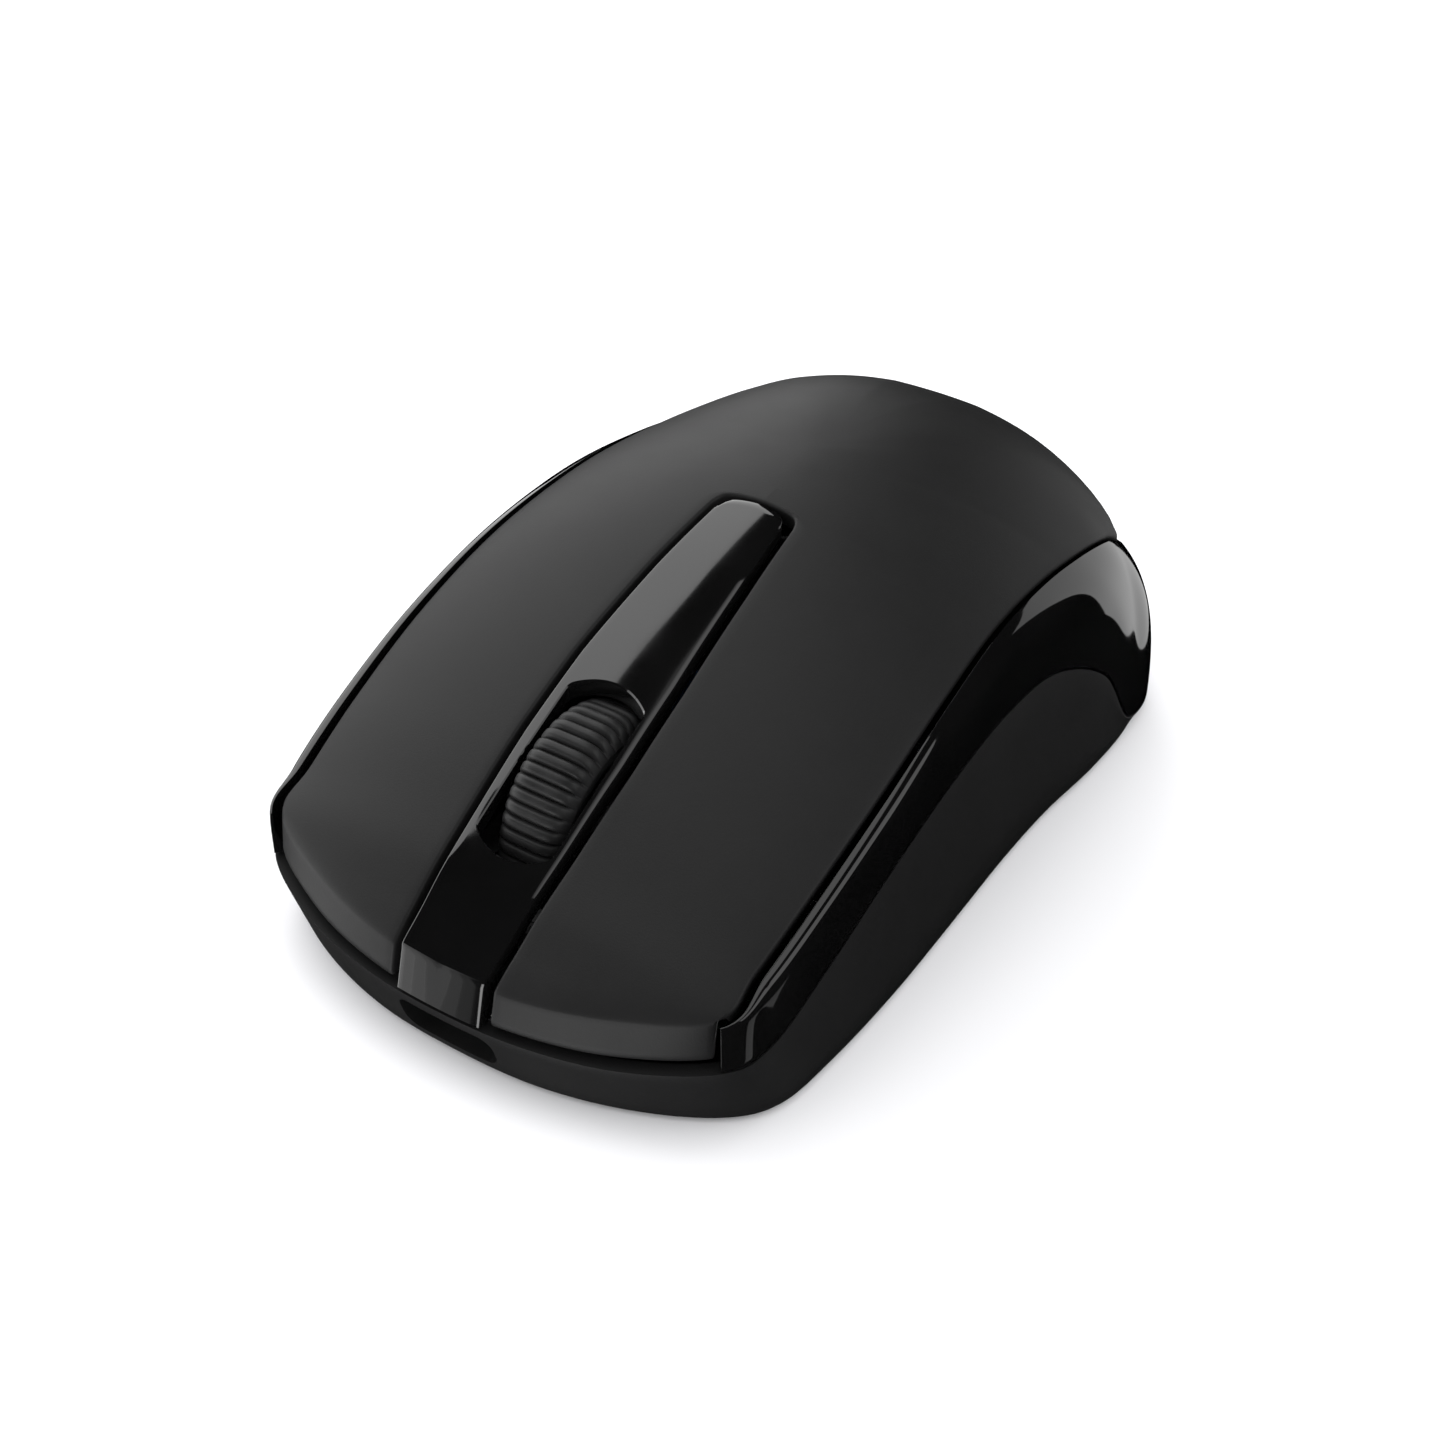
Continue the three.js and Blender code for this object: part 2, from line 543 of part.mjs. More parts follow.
// The strip down the middle: a fold at the nose, a front face, and the slot for the wheel.
function centreStrip() {
  const { thick, edgeY, foldY } = STRIP;
  const height = (x, y) => crownHeight(x, Math.max(y, 0.2)) + STRIP.proud;
  const columns = stations(-1, 1, 4);
  const widthAt = (y) => byY(STRIP_HALF, y);
  const lipZ = LIP[0][2] + 0.1;
  const outer = [columns.map((t) => [t * widthAt(edgeY), foldY, lipZ])];
  const inner = [columns.map((t) => [t * widthAt(edgeY), foldY + thick, lipZ])];
  for (const y of stations(edgeY, STRIP_END, 16)) {
    const bow = y === STRIP_END ? STRIP.bow : 0;
    const back = y < 1 ? thick : 0;
    const line = columns.map((t) => [t * widthAt(y), y + bow * (1 - t * t)]);
    outer.push(line.map(([x, at]) => [x, at, height(x, y)]));
    inner.push(line.map(([x, at]) => [x, at + back, height(x, y + back) - thick]));
  }
  return carve(thickSheet(outer, inner, false), { cut: [plate(slotOutline(), 5, 45)] });
}

// The wheel slot's outline in plan: straight sides and bowed ends.
function slotOutline() {
  const end = (y, way) => stations(-1, 1, 6)
    .map((t) => [way * t * SLOT.half, y + way * SLOT.bow * (1 - t * t)]);
  return [...end(SLOT.front, -1).reverse(), ...end(SLOT.rear, 1).reverse()].reverse();
}

// ---- Wheel -------------------------------------------------------------------------------
// The rubber tyre: a band with a crowned tread.
function wheelTyre() {
  const { half, rim, crown } = WHEEL;
  const seat = rim - 1.8;
  const crownLine = stations(-1, 1, 8).map((t) => [rim + (crown - rim) * (1 - t * t), t * (half - 0.5)]);
  return turnedOnAxle([[seat, -half + 0.3], [rim - 0.6, -half], ...crownLine, [rim - 0.6, half],
    [seat, half - 0.3], [seat, -half + 0.3]], 40);
}

// The hub: a boss and a rim joined by a web.
function wheelHub() {
  const [bore, boss, web, half] = [AXLE.r + 0.05, 3, 1, WHEEL.half - 0.4];
  const outside = WHEEL.rim - 1.8 - 0.05;
  const rim = outside - 1.2;
  const profile = [[bore, -half], [boss, -half], [boss, -web], [rim, -web], [rim, -half],
    [outside, -half], [outside, half], [rim, half], [rim, web], [boss, web], [boss, half],
    [bore, half], [bore, -half]];
  return turnedOnAxle(profile, 32);
}

const wheelAxle = () => barX(AXLE.left, AXLE.right, WHEEL.y, WHEEL.z, AXLE.r, 16);

// The cradle is a frame round the wheel, with an ear on each side that holds the axle.
function wheelCradle() {
  const { half, front, rear, low, high, rim, ear } = CRADLE;
  const frame = block([-half, front, low], [half, rear, high]);
  const opening = block([rim - half, front + 2, low - 1], [half - rim, rear - 1.7, high + 1]);
  const ears = [-8.8, 6.6].map((x) =>
    block([x, WHEEL.y - ear, low + 0.2], [x + 2.2, WHEEL.y + ear, WHEEL.z + ear]));
  const arm = block([-half - 4, 28.4, low], [0.2 - half, 32, high]);
  const bore = barX(-12, 12, WHEEL.y, WHEEL.z, AXLE.r + 0.06, 16);
  return carve(frame, { join: [...ears, arm], cut: [opening, bore] });
}

// The encoder stands on the board and takes the end of the axle.
function encoderCase() {
  const { left, right, half, above } = ENCODER;
  const box = block([left, WHEEL.y - half, BOARD.top + GAP], [right, WHEEL.y + half, WHEEL.z + above]);
  const chamber = barX(11.2, 13.8, WHEEL.y, WHEEL.z, 4.2, 24);
  const mouth = barX(9, 12, WHEEL.y, WHEEL.z, 2.1, 20);
  const exit = barX(12, 15.5, WHEEL.y, WHEEL.z, 2.1, 20);
  return carve(box, { cut: [chamber, mouth, exit] });
}

// The toothless ring on the axle's end that turns inside the encoder.
function encoderRotor() {
  const [bore, r, [low, high]] = [AXLE.r + 0.05, ENCODER.rotorR, ENCODER.rotor];
  return turnedOnAxle([[bore, low], [r, low], [r, high], [bore, high], [bore, low]], 24);
}

// The centre line of the spring's wire.
class Helix extends THREE.Curve {
  constructor(centre, radius, height, turns) {
    super();
    Object.assign(this, { centre, radius, height, turns });
  }

  getPoint(t, target = new THREE.Vector3()) {
    const a = 2 * Math.PI * this.turns * t;
    const [x, y, z] = this.centre;
    return target.set(x + this.radius * Math.cos(a), y + this.radius * Math.sin(a), z + this.height * t);
  }
}

// The spring under the cradle's nose: a six-sided wire carried along the helix.
function cradleSpring() {
  const { y, r, height, turns, wire } = SPRING;
  const ring = new THREE.Shape(stations(0, 5 / 6, 5).map((t) =>
    new THREE.Vector2(wire * Math.cos(2 * Math.PI * t), wire * Math.sin(2 * Math.PI * t))));
  const path = new Helix([0, y, BOARD.top + 0.55], r, height, turns);
  return new THREE.ExtrudeGeometry(ring, { steps: turns * 12, extrudePath: path });
}

// ---- Electronics -------------------------------------------------------------------------
// The board, with openings for the wheel and the sensor's lens and holes for two screws.
function circuitBoard() {
  const right = [[12, 3.5], [23, 11], [24, 20], [24, 43.6]];
  const outline = [[-12, 3.5], ...right, ...right.slice(1).reverse().map(([x, y]) => [-x, y])];
  const slot = block([-5, 14.2, 0], [5, 32.6, 12]);
  const lens = block([-3.2, SENSOR_Y - 2.6, 0], [3.2, SENSOR_Y + 2.6, 12]);
  const holes = [-1, 1].map((side) => post(side * BOARD_SCREW.x, BOARD_SCREW.y, SCREW_HOLE_R, 0, 12));
  return carve(plate(outline, BOARD.bottom, BOARD.top), { cut: [slot, lens, ...holes] });
}

// A push switch's case with a well in its top for the plunger.
function switchCase(x, y, wide, long, tall, well) {
  const low = BOARD.top + GAP;
  const box = block([x - wide / 2, y - long / 2, low], [x + wide / 2, y + long / 2, low + tall]);
  return carve(box, { cut: [well] });
}

// The switch under each button, and its plunger.
function buttonSwitch(side) {
  const [x, y] = [side * SWITCH.x, SWITCH.plungerY];
  const top = BOARD.top + GAP + SWITCH.tall;
  const well = block([x - 1.2, y - 1.7, top - 1.6], [x + 1.2, y + 1.7, top + 1]);
  return switchCase(x, SWITCH.y, SWITCH.wide, SWITCH.long, SWITCH.tall, well);
}

function buttonPlunger(side) {
  const [x, y] = [side * SWITCH.x, SWITCH.plungerY];
  const top = BOARD.top + GAP + SWITCH.tall;
  return block([x - 0.9, y - 1.4, top - 0.7], [x + 0.9, y + 1.4, top + 0.6]);
}

// The switch that the cradle's arm presses, and its plunger.
function wheelSwitch() {
  const { x, y, size, tall } = WHEEL_SWITCH;
  const top = BOARD.top + GAP + tall;
  return switchCase(x, y, size, size, tall, post(x, y, 1.35, top - 1.3, top + 1));
}

function wheelPlunger() {
  const top = BOARD.top + GAP + WHEEL_SWITCH.tall;
  return post(WHEEL_SWITCH.x, WHEEL_SWITCH.y, 1, top - 0.6, CRADLE.low - GAP);
}

// The lens: a bed on the base plate, a foot in the plate's hole and a dome under the sensor.
function sensorLens() {
  const bed = block([-8, SENSOR_Y - 5.5, PLATE_TOP + GAP], [8, SENSOR_Y + 3.6, 3.9]);
  const foot = block([-4.4, SENSOR_Y - 3.4, 1.1], [4.4, SENSOR_Y + 3.4, PLATE_TOP + 0.5]);
  const dome = new THREE.SphereGeometry(2.2, 20, 12).scale(1, 1, 0.7);
  return carve(bed, { join: [foot, placed(dome, 0, SENSOR_Y, 3.9)] });
}

// The receptacle's metal shell, open at the front, round its plastic tongue.
function chargingPort() {
  const { half, z, front } = PORT;
  const shell = block([-half, front, z - 1.35], [half, front + 5.2, z + 1.35]);
  const mouth = block([-half + 0.35, front - 1, z - 1], [half - 0.35, front + 4.6, z + 1]);
  return carve(shell, { cut: [mouth] });
}

// The tongue stands free inside the shell's mouth.
const chargingTongue = () => block([-1.9, PORT.front + 0.5, PORT.z - 0.1],
  [1.9, PORT.front + 4.3, PORT.z + 0.5]);

// ---- Power -------------------------------------------------------------------------------
// The cell, with the nub of its positive end at the rear.
function batteryCell() {
  const [y, end] = [CELL.front, CELL.front + CELL.length];
  const nub = barY(0, end - 0.1, end + 1.2, CELL.z, 2.7, 20);
  return carve(barY(0, y, end, CELL.z, CELL.r, 32), { join: [nub] });
}

// A contact leaf: a plate with a tab folded down to the wall that holds it.
function contactLeaf(y) {
  return carve(block([-3.6, y, 5.4], [3.6, y + 0.35, 13.6]), {
    join: [block([-1.6, y, 3], [1.6, y + 0.35, 6])],
  });
}

// The door: a sheet with a finger groove across its underside and ribs on its inside.
function batteryDoor() {
  const top = BASE_BOTTOM + DOOR.thick;
  const sheet = block([-DOOR.half, DOOR.front, BASE_BOTTOM], [DOOR.half, DOOR.rear, top]);
  const notch = barX(-4, 4, DOOR.rear - 3.4, BASE_BOTTOM - 1.2, 2, 20);
  const ribs = [0, 1, 2, 3].map((k) => block([-5 + k * 3, 60, top - 0.4], [-4 + k * 3, 84, top + 0.35]));
  return carve(sheet, { join: ribs, cut: [notch] });
}

// The slider of the power switch, grooved for the finger.
function powerKnob() {
  const { x, y, knobHalf } = POWER;
  const top = PLATE_TOP + 0.2;
  const body = block([x - knobHalf, y - 1.5, 0.9], [x + knobHalf, y + 1.5, top]);
  const grooves = [-1, 0, 1].map((k) => block([x + k - 0.2, y - 2, 0.5], [x + k + 0.2, y + 2, 1.15]));
  return carve(body, { cut: grooves });
}

const powerSwitch = () => block([POWER.x - 3, POWER.y - 2.2, PLATE_TOP + 0.5],
  [POWER.x + 5.5, POWER.y + 2.2, BOARD.bottom - GAP]);

// The radio receiver: its plastic cap, and its metal plug, which stands on the cap.
function receiverCap() {
  const { x, y, wide, thick, capLow, capHigh } = RECEIVER;
  return plate(roundBar(x, y, wide, thick, Math.PI / 2), capLow, capHigh);
}

function receiverPlug() {
  const { x, y, capHigh } = RECEIVER;
  const shell = block([x - 2.25, y - 6, capHigh + 0.05], [x + 2.25, y + 6, 18.6]);
  const mouth = block([x - 0.2, y - 5.6, 9], [x + 1.9, y + 5.6, 20]);
  return carve(shell, { cut: [mouth] });
}

// ---- Fasteners ---------------------------------------------------------------------------
// A cross-head screw on one side. Its head stands on z = head, and its shank points to z = tip.
function screw(side, { x: offset, y, head: headLow, headR, headTall, tip }) {
  const x = side * offset;
  const headTop = headLow + headTall;
  const lap = 0.2;
  const head = post(x, y, headR, headLow, headTop);
  const shank = post(x, y, 1, Math.min(tip, headLow + lap), Math.max(tip, headTop - lap), 12);
  const faceZ = tip > headLow ? headLow : headTop;
  const cross = [[1.2, 0.25], [0.25, 1.2]].map(([a, b]) =>
    block([x - a, y - b, faceZ - 0.5], [x + a, y + b, faceZ + 0.5]));
  return carve(head, { join: [shank], cut: cross });
}

// ---- Assembly ----------------------------------------------------------------------------
add('base_shell', baseShell(), MATTE);
add('gloss_belt', glossBelt(), GLOSS);
add('palm_cover', palmCover(), MATTE);
const button = rightButton();
add('right_button', button, MATTE);
add('left_button', mirrored(button), MATTE);
add('centre_strip', centreStrip(), GLOSS);

add('wheel_tyre', wheelTyre(), RUBBER);
add('wheel_hub', wheelHub(), INNER);
add('wheel_axle', wheelAxle(), STEEL);
add('wheel_cradle', wheelCradle(), INNER);
add('cradle_spring', cradleSpring(), STEEL);
add('encoder_case', encoderCase(), INNER);
add('encoder_rotor', encoderRotor(), BRASS);

add('circuit_board', circuitBoard(), BOARD_GREEN);
for (const [side, word] of [[-1, 'left'], [1, 'right']]) {
  add(`${word}_switch_case`, buttonSwitch(side), CHIP);
  add(`${word}_switch_plunger`, buttonPlunger(side), RED);
}
add('wheel_switch_case', wheelSwitch(), CHIP);
add('wheel_switch_plunger', wheelPlunger(), WHITE);
add('optical_sensor', block([-4.2, SENSOR_Y - 4, BOARD.top + GAP], [4.2, SENSOR_Y + 4, 9.6]), CHIP);
add('sensor_lens', sensorLens(), CLEAR);
add('light_diode', barY(8.6, SENSOR_Y - 0.3, SENSOR_Y + 4.7, BOARD.top + GAP + 1.5, 1.5, 16), RED);
add('radio_chip', block([-16, 35, BOARD.top + GAP], [-11, 40, 8.6]), CHIP);
add('clock_crystal', barY(14, 34, 41, BOARD.top + GAP + 1.1, 1.1, 14), STEEL);
add('charging_port', chargingPort(), STEEL);
add('charging_tongue', chargingTongue(), CHIP);
add('power_switch_case', powerSwitch(), STEEL);
add('power_switch_knob', powerKnob(), INNER);

add('battery_cell', batteryCell(), LABEL);
add('battery_contact_front', contactLeaf(45.3), STEEL);
add('battery_contact_rear', contactLeaf(96.85), STEEL);
add('battery_door', batteryDoor(), MATTE);
add('receiver_cap', receiverCap(), INNER);
add('receiver_plug', receiverPlug(), STEEL);

for (const [name, x, y, length, width, turn] of FEET) {
  add(name, plate(roundBar(x, y, length, width, turn), 0, BASE_BOTTOM + 0.35), GLIDE);
}
for (const [side, word] of [[-1, 'left'], [1, 'right']]) {
  add(`case_screw_${word}`, screw(side, CASE_SCREW), STEEL);
  add(`board_screw_${word}`, screw(side, BOARD_SCREW), STEEL);
}

object.position.set(0, -NOSE_TO_CENTRE, 0);
export default object;
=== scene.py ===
"""Looks of a compact cordless mouse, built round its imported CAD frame.

The skin formulas work in millimetres with y measured back from the nose, as in the CAD source.
make() turns such points into the row frame: metres, +Z up, nose towards -Y.
"""
import json
import math

import bmesh
import bpy
import numpy as np
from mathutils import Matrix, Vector


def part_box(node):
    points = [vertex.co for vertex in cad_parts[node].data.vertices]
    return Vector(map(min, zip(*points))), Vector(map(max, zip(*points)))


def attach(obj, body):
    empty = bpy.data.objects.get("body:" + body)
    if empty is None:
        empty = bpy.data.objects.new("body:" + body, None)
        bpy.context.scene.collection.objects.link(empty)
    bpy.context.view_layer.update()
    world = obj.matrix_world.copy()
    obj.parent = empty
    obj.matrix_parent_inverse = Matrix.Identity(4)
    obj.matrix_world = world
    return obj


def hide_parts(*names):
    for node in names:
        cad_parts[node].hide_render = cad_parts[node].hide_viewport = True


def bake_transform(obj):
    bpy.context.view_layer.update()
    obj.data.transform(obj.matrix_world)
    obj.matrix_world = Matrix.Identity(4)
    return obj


MM = 0.001
NOSE_TO_CENTRE = 50.77      # from the nose's y = 0 to the middle of the row frame
GAP = 0.3                   # between neighbouring pieces
AIM = Vector((0, 0, 0.02))  # what the lamps face

# Stations of the outer skin from the middle of the nose, round the right side, to the middle of
# the tail: the floor line, the belt's lower lip and the cover's seam as (x, y, z), and the ridge
# on the middle plane as (y, z).
FLOOR = [(0, 0.55, 1.1), (9.6, 1.15, 1.1), (18.6, 3.6, 1.1), (26.2, 7.6, 1.1), (29.8, 12.2, 1.1),
         (30.8, 20, 1.1), (31.05, 31, 1.1), (30.65, 43, 1.1), (30.15, 55, 1.1), (30.15, 65, 1.1),
         (30.85, 75, 1.1), (30.6, 84, 1.1), (28.5, 92.1, 1.1), (17.2, 99.1, 1.1), (0, 100.8, 1.1)]
LIP = [(0, -1.45, 7.9), (9.4, -0.8, 7.9), (18.8, 1.5, 8.2), (27.3, 5.9, 9.0), (29.1, 11.5, 8.7),
       (29.75, 20, 12.1), (30, 31, 16.5), (29.7, 43, 19.3), (29.35, 55, 20.4), (29.4, 66, 18.9),
       (30.2, 77, 12.4), (30.9, 83.5, 3.0), (28.8, 92.5, 1.9), (17.5, 99.6, 1.9), (0, 101.4, 1.9)]
SEAM = [(0, -0.15, 12.3), (9, 0.45, 12.5), (18, 2.9, 13.1), (26.4, 6.8, 14.2), (27.1, 12, 16.4),
        (27.7, 20, 19.9), (28.05, 31, 24.1), (27.7, 43, 27.6), (26.9, 55, 29.3), (26.4, 66, 28.9),
        (26, 76, 27), (25, 85, 23.7), (22.8, 93, 18.6), (14, 99.3, 15.4), (0, 101.1, 14.4)]
RIDGE = [(0.3, 12.7), (1, 13.2), (3.4, 14.7), (7, 17.2), (12, 19.9), (20, 24.1), (31, 29),
         (43, 33.1), (53, 35.6), (60, 36.5), (64, 36.77), (66, 36.8), (67, 36.8), (67.5, 36.8),
         (68, 36.8)]
# The belt's section at each station: rise of its outer face, reach of its top face, fall angle.
BELT = [(4, 1, 10), (4, 1, 10), (4, 1, 10), (5, 1.2, 4), (7, 2.3, 4), (7.4, 2.5, 6), (7, 2.4, 9),
        (7.2, 2.5, 14), (7.4, 3, 22), (8, 3.9, 32), (9.5, 4.8, 40), (10, 5.5, 46), (9, 6, 50),
        (8, 6, 52), (8, 6, 52)]
MIRRORED_X = np.array([-1.0, 1.0, 1.0])
TAIL = 14                   # last station
CORNER = 3                  # station at the nose's corner, where the belt starts
SPLIT = 8.4                 # station where the palm cover takes over from the fingers
FINE = 12                   # sections per station

COVER_RIM = 0.35            # radius of the cover's moulded edges
COVER_WALL = 1.9
ROUND = np.radians([0, 22, 45, 68, 90])     # turns round a moulded edge
FRACTIONS = np.linspace(0, 1, 30) ** 0.85   # across half of the cover, from middle to seam
# Rows of points along a finger: all of them, those behind the channel's end, and those that the
# rounding of the front crease takes up.
FINGER_ROWS, SPINE_ROWS, CREASE_ROWS = 96, 6, 3
INNER_STATION = 0.66        # where the finger's front edge starts, beside the channel
BELT_BEVEL = 0.14

# The strip, with its half width as (y, half width), the channel that it lies in, and the slot.
STRIP_HALF = [(-2, 4.9), (5, 5.2), (12, 5.5), (21, 5.75), (30, 5.6), (36, 5.2), (42, 4.8), (52, 3.9)]
STRIP_END, STRIP_BOW = 53.2, 0.8
STRIP_PROUD, STRIP_THICK, STRIP_BULGE, STRIP_RIM = 0.2, 1.8, 0.14, 0.16
STRIP_LENGTH = 53           # for the rounding of its rear end
STRIP_EDGE_Y, STRIP_FOOT = -0.13, (-1.42, 8.05)     # the fold's y, and the foot's y and z
CHANNEL, CHANNEL_END, CHANNEL_BOW, CHANNEL_CORNER = 0.95, 53.75, 0.6, 1.3
SLOT_FRONT, SLOT_REAR, SLOT_HALF, SLOT_BOW = 11.2, 26.4, 4.53, 1.6
SLOT_CHAMFER = 0.16

# The tyre.
WHEEL_Y, WHEEL_Z, RIM_R, CROWN_R, TYRE_HALF = 23.3, 15.1, 11.0, 11.4, 3.75
RIBS, RIB_HEIGHT = 50, 0.55

# The base: glide feet as (node, x, y, length, width, turn), and the screws on the right side.
FEET = [("front_foot", 0, 9.4, 30, 5, 0.0), ("rear_foot_left", -19.5, 90.5, 11, 4.5, -0.75),
        ("rear_foot_right", 19.5, 90.5, 11, 4.5, 0.75)]
CASE_SCREW, BOARD_SCREW = (19, 56), (20, 31)
BAY_WALLS_Y = (44.2, 97.5)

# The camera, from the photograph's perspective: place in millimetres from the nose, and the
# azimuth and elevation that it looks from.
CAMERA_PLACE, CAMERA_SIDE, LENS_MM = (107.94, -113.07, 156.03), (34.167, 36.743), 56.25

# Lamps: name, range of azimuths, range of elevations, distance in metres, radiance.
SOFTBOXES = [
    ("front_fill", (-18, 15), (-45, -2), 0.5, 3.2),
    ("prow_panel", (106, 116), (-50, -36), 0.4, 0.25),
    ("ridge_panel", (76, 114), (12, 62), 0.7, 1.2),
]
# The panel ahead on the left fades out to the right in steps; elevations, then the fade.
NOSE_HEIGHTS = (-32, 20)
FADE_STEPS, FADE_START, FADE_WIDTH = 12, -54, 2.5
# Overhead: left and right edge in parts of the height, and radiance.
TOP_PANELS = [(-0.44, -0.4, 0.4), (-0.4, -0.36, 0.8), (-0.36, 0.05, 1.1)]


# ---- Skin formulas ------------------------------------------------------------------------
def along(net, s):
    """A Catmull-Rom curve through a list; beyond both ends the list is mirrored."""
    table = np.array(net, float)
    last = len(table) - 1
    flip = MIRRORED_X if net in (FLOOR, LIP, SEAM) else 1.0
    padded = np.vstack([table[1] * flip, table, table[last - 1] * flip])
    s = np.clip(np.asarray(s, float), 0, last)
    i = np.minimum(s.astype(int), last - 1)
    u = (s - i)[..., None]
    a, b, d, e = (padded[i + k] for k in range(4))
    return 0.5 * (2 * b + (d - a) * u + (2 * a - 5 * b + 4 * d - e) * u ** 2
                  + (3 * b - a - 3 * d + e) * u ** 3)


def by_y(table, y):
    """A width read from a table of (y, width)."""
    return np.interp(y, *zip(*table))


def plan_normal(net, s):
    """Outward direction in plan; on the middle plane it points straight ahead or back."""
    step = 0.02
    run = along(net, np.minimum(s + step, TAIL)) - along(net, np.maximum(s - step, 0))
    normal = np.stack([run[..., 1], -run[..., 0], 0 * run[..., 0]], -1)
    normal = np.where((np.asarray(s) <= 0)[..., None], (0, -1, 0), normal)
    normal = np.where((np.asarray(s) >= TAIL)[..., None], (0, 1, 0), normal)
    return normal / np.linalg.norm(normal, axis=-1, keepdims=True)


def inset(net, s, distance, z=None):
    """Points inside a line of the net, at its own height or at height z."""
    p = along(net, s) - plan_normal(net, s) * distance
    if z is not None:
        p[..., 2] = z
    return p


def crown(s, r):
    """The crown: r is 0 on the ridge and 1 at the seam."""
    seam, ridge = along(SEAM, s), along(RIDGE, s)
    tail = np.clip((s - 9.5) / 4, 0, 1)
    fall = 1 - (1 - np.abs(r) ** (2.1 + 0.7 * tail)) ** (0.85 - 0.25 * tail)
    x = seam[..., 0] * r
    y = ridge[..., 0] + (seam[..., 1] - ridge[..., 0]) * np.abs(r)
    z = ridge[..., 1] + (seam[..., 2] - ridge[..., 1]) * fall
    return np.stack([x, y, z], -1)


def crown_height(x, y):
    """Height of the crown over a plan point; its station is found by halving."""
    ax = np.maximum(np.abs(np.asarray(x, float)), 0.05)
    low, high = np.zeros_like(ax), np.full_like(ax, TAIL)
    for _ in range(32):
        mid = (low + high) / 2
        seam, start = along(SEAM, mid), along(RIDGE, mid)[..., 0]
        behind = seam[..., 0] * (y - start) > (seam[..., 1] - start) * ax
        low, high = np.where(behind, mid, low), np.where(behind, high, mid)
    reach = ax / np.maximum(along(SEAM, low)[..., 0], ax)
    return crown(low, np.minimum(reach, 1))[..., 2]


def crown_normal(x, y):
    """Direction out of the crown over a plan point."""
    h = 0.05
    slope_x = (crown_height(x + h, y) - crown_height(x - h, y)) / (2 * h)
    slope_y = (crown_height(x, y + h) - crown_height(x, y - h)) / (2 * h)
    normal = np.stack([-slope_x, -slope_y, np.ones_like(slope_x)], -1)
    return normal / np.linalg.norm(normal, axis=-1, keepdims=True)


def lip_gap(s):
    """Upright distance between base and belt that keeps the gap square to the sloping lip."""
    run = along(LIP, np.minimum(s + 0.1, TAIL)) - along(LIP, np.maximum(s - 0.1, 0))
    flat = np.hypot(run[..., 0], run[..., 1])
    return GAP * np.hypot(flat, run[..., 2]) / flat


def bend(a, b, c, t):
    """A quadratic curve from a to c that turns towards b."""
    return (1 - t) ** 2 * a + 2 * t * (1 - t) * b + t ** 2 * c


def belt_curve(s, u):
    """The belt's outer face at stations s, from the lip (u = 0) to its inner top edge (u = 1)."""
    gap = 0.9 - 0.5 * np.clip((s - CORNER) / 7, 0, 1)
    rise, reach, angle = np.moveaxis(along(BELT, s), -1, 0)
    fall = np.radians(angle)
    normal = plan_normal(SEAM, s)
    up = np.array([0, 0, 1.0])
    out = np.maximum(reach - gap, 0.3)[:, None]
    lip = along(LIP, s)
    top = along(SEAM, s) + normal * gap[:, None]
    low = lip + up * rise[:, None]
    high = top + (normal * np.cos(fall)[:, None] - up * np.sin(fall)[:, None]) * out
    u = np.asarray(u)[None, :, None]
    a, b, c, d = (p[:, None, :] for p in (lip, low, high, top))
    return (1 - u) ** 3 * a + 3 * u * (1 - u) ** 2 * b + 3 * u ** 2 * (1 - u) * c + u ** 3 * d


# ---- Mesh helpers -------------------------------------------------------------------------
def grid_faces(rows, cols, wrap_rows=False, wrap_cols=False, start=0):
    """Quads of a grid of points numbered row by row from start."""
    faces = []
    for i in range(rows if wrap_rows else rows - 1):
        for j in range(cols if wrap_cols else cols - 1):
            k, m = (i + 1) % rows, (j + 1) % cols
            quad = (i * cols + j, i * cols + m, k * cols + m, k * cols + j)
            faces.append(tuple(start + q for q in quad))
    return faces


def make(name, points, faces, sharp=32):
    """A mesh object in the row frame from points in millimetres measured from the nose."""
    local = (np.asarray(points, float).reshape(-1, 3) - (0, NOSE_TO_CENTRE, 0)) * MM
    mesh = bpy.data.meshes.new(name)
    mesh.from_pydata(local.tolist(), [], faces)
    clean(mesh, sharp)
    obj = bpy.data.objects.new(name, mesh)
    bpy.context.scene.collection.objects.link(obj)
    return obj


def clean(mesh, sharp):
    """Merges doubled points, turns all faces outward and shades edges below an angle smooth."""
    bm = bmesh.new()
    bm.from_mesh(mesh)
    bmesh.ops.remove_doubles(bm, verts=bm.verts, dist=2e-6)
    bmesh.ops.dissolve_degenerate(bm, edges=bm.edges, dist=1e-7)
    bmesh.ops.recalc_face_normals(bm, faces=bm.faces)
    bm.to_mesh(mesh)
    bm.free()
    mesh.shade_smooth()
    mesh.set_sharp_from_angle(angle=math.radians(sharp))


def thick_sheet(name, outer, inner, sharp=32, folded=False):
    """A closed shell between two grids of points; a last row folded onto itself gets no wall."""
    rows, cols = outer.shape[:2]
    far = rows * cols
    faces = grid_faces(rows, cols)
    faces += [tuple(reversed(f)) for f in grid_faces(rows, cols, start=far)]
    first, last = range(cols), range((rows - 1) * cols, rows * cols)
    right = [i * cols + cols - 1 for i in range(rows)]
    left = [i * cols for i in range(rows)]
    edges = list(zip(first, first[1:])) + list(zip(right, right[1:])) + list(zip(left[1:], left))
    if not folded:
        edges += list(zip(last[1:], last))
    faces += [(a, a + far, b + far, b) for a, b in edges]
    return make(name, np.vstack([outer.reshape(-1, 3), inner.reshape(-1, 3)]), faces, sharp)


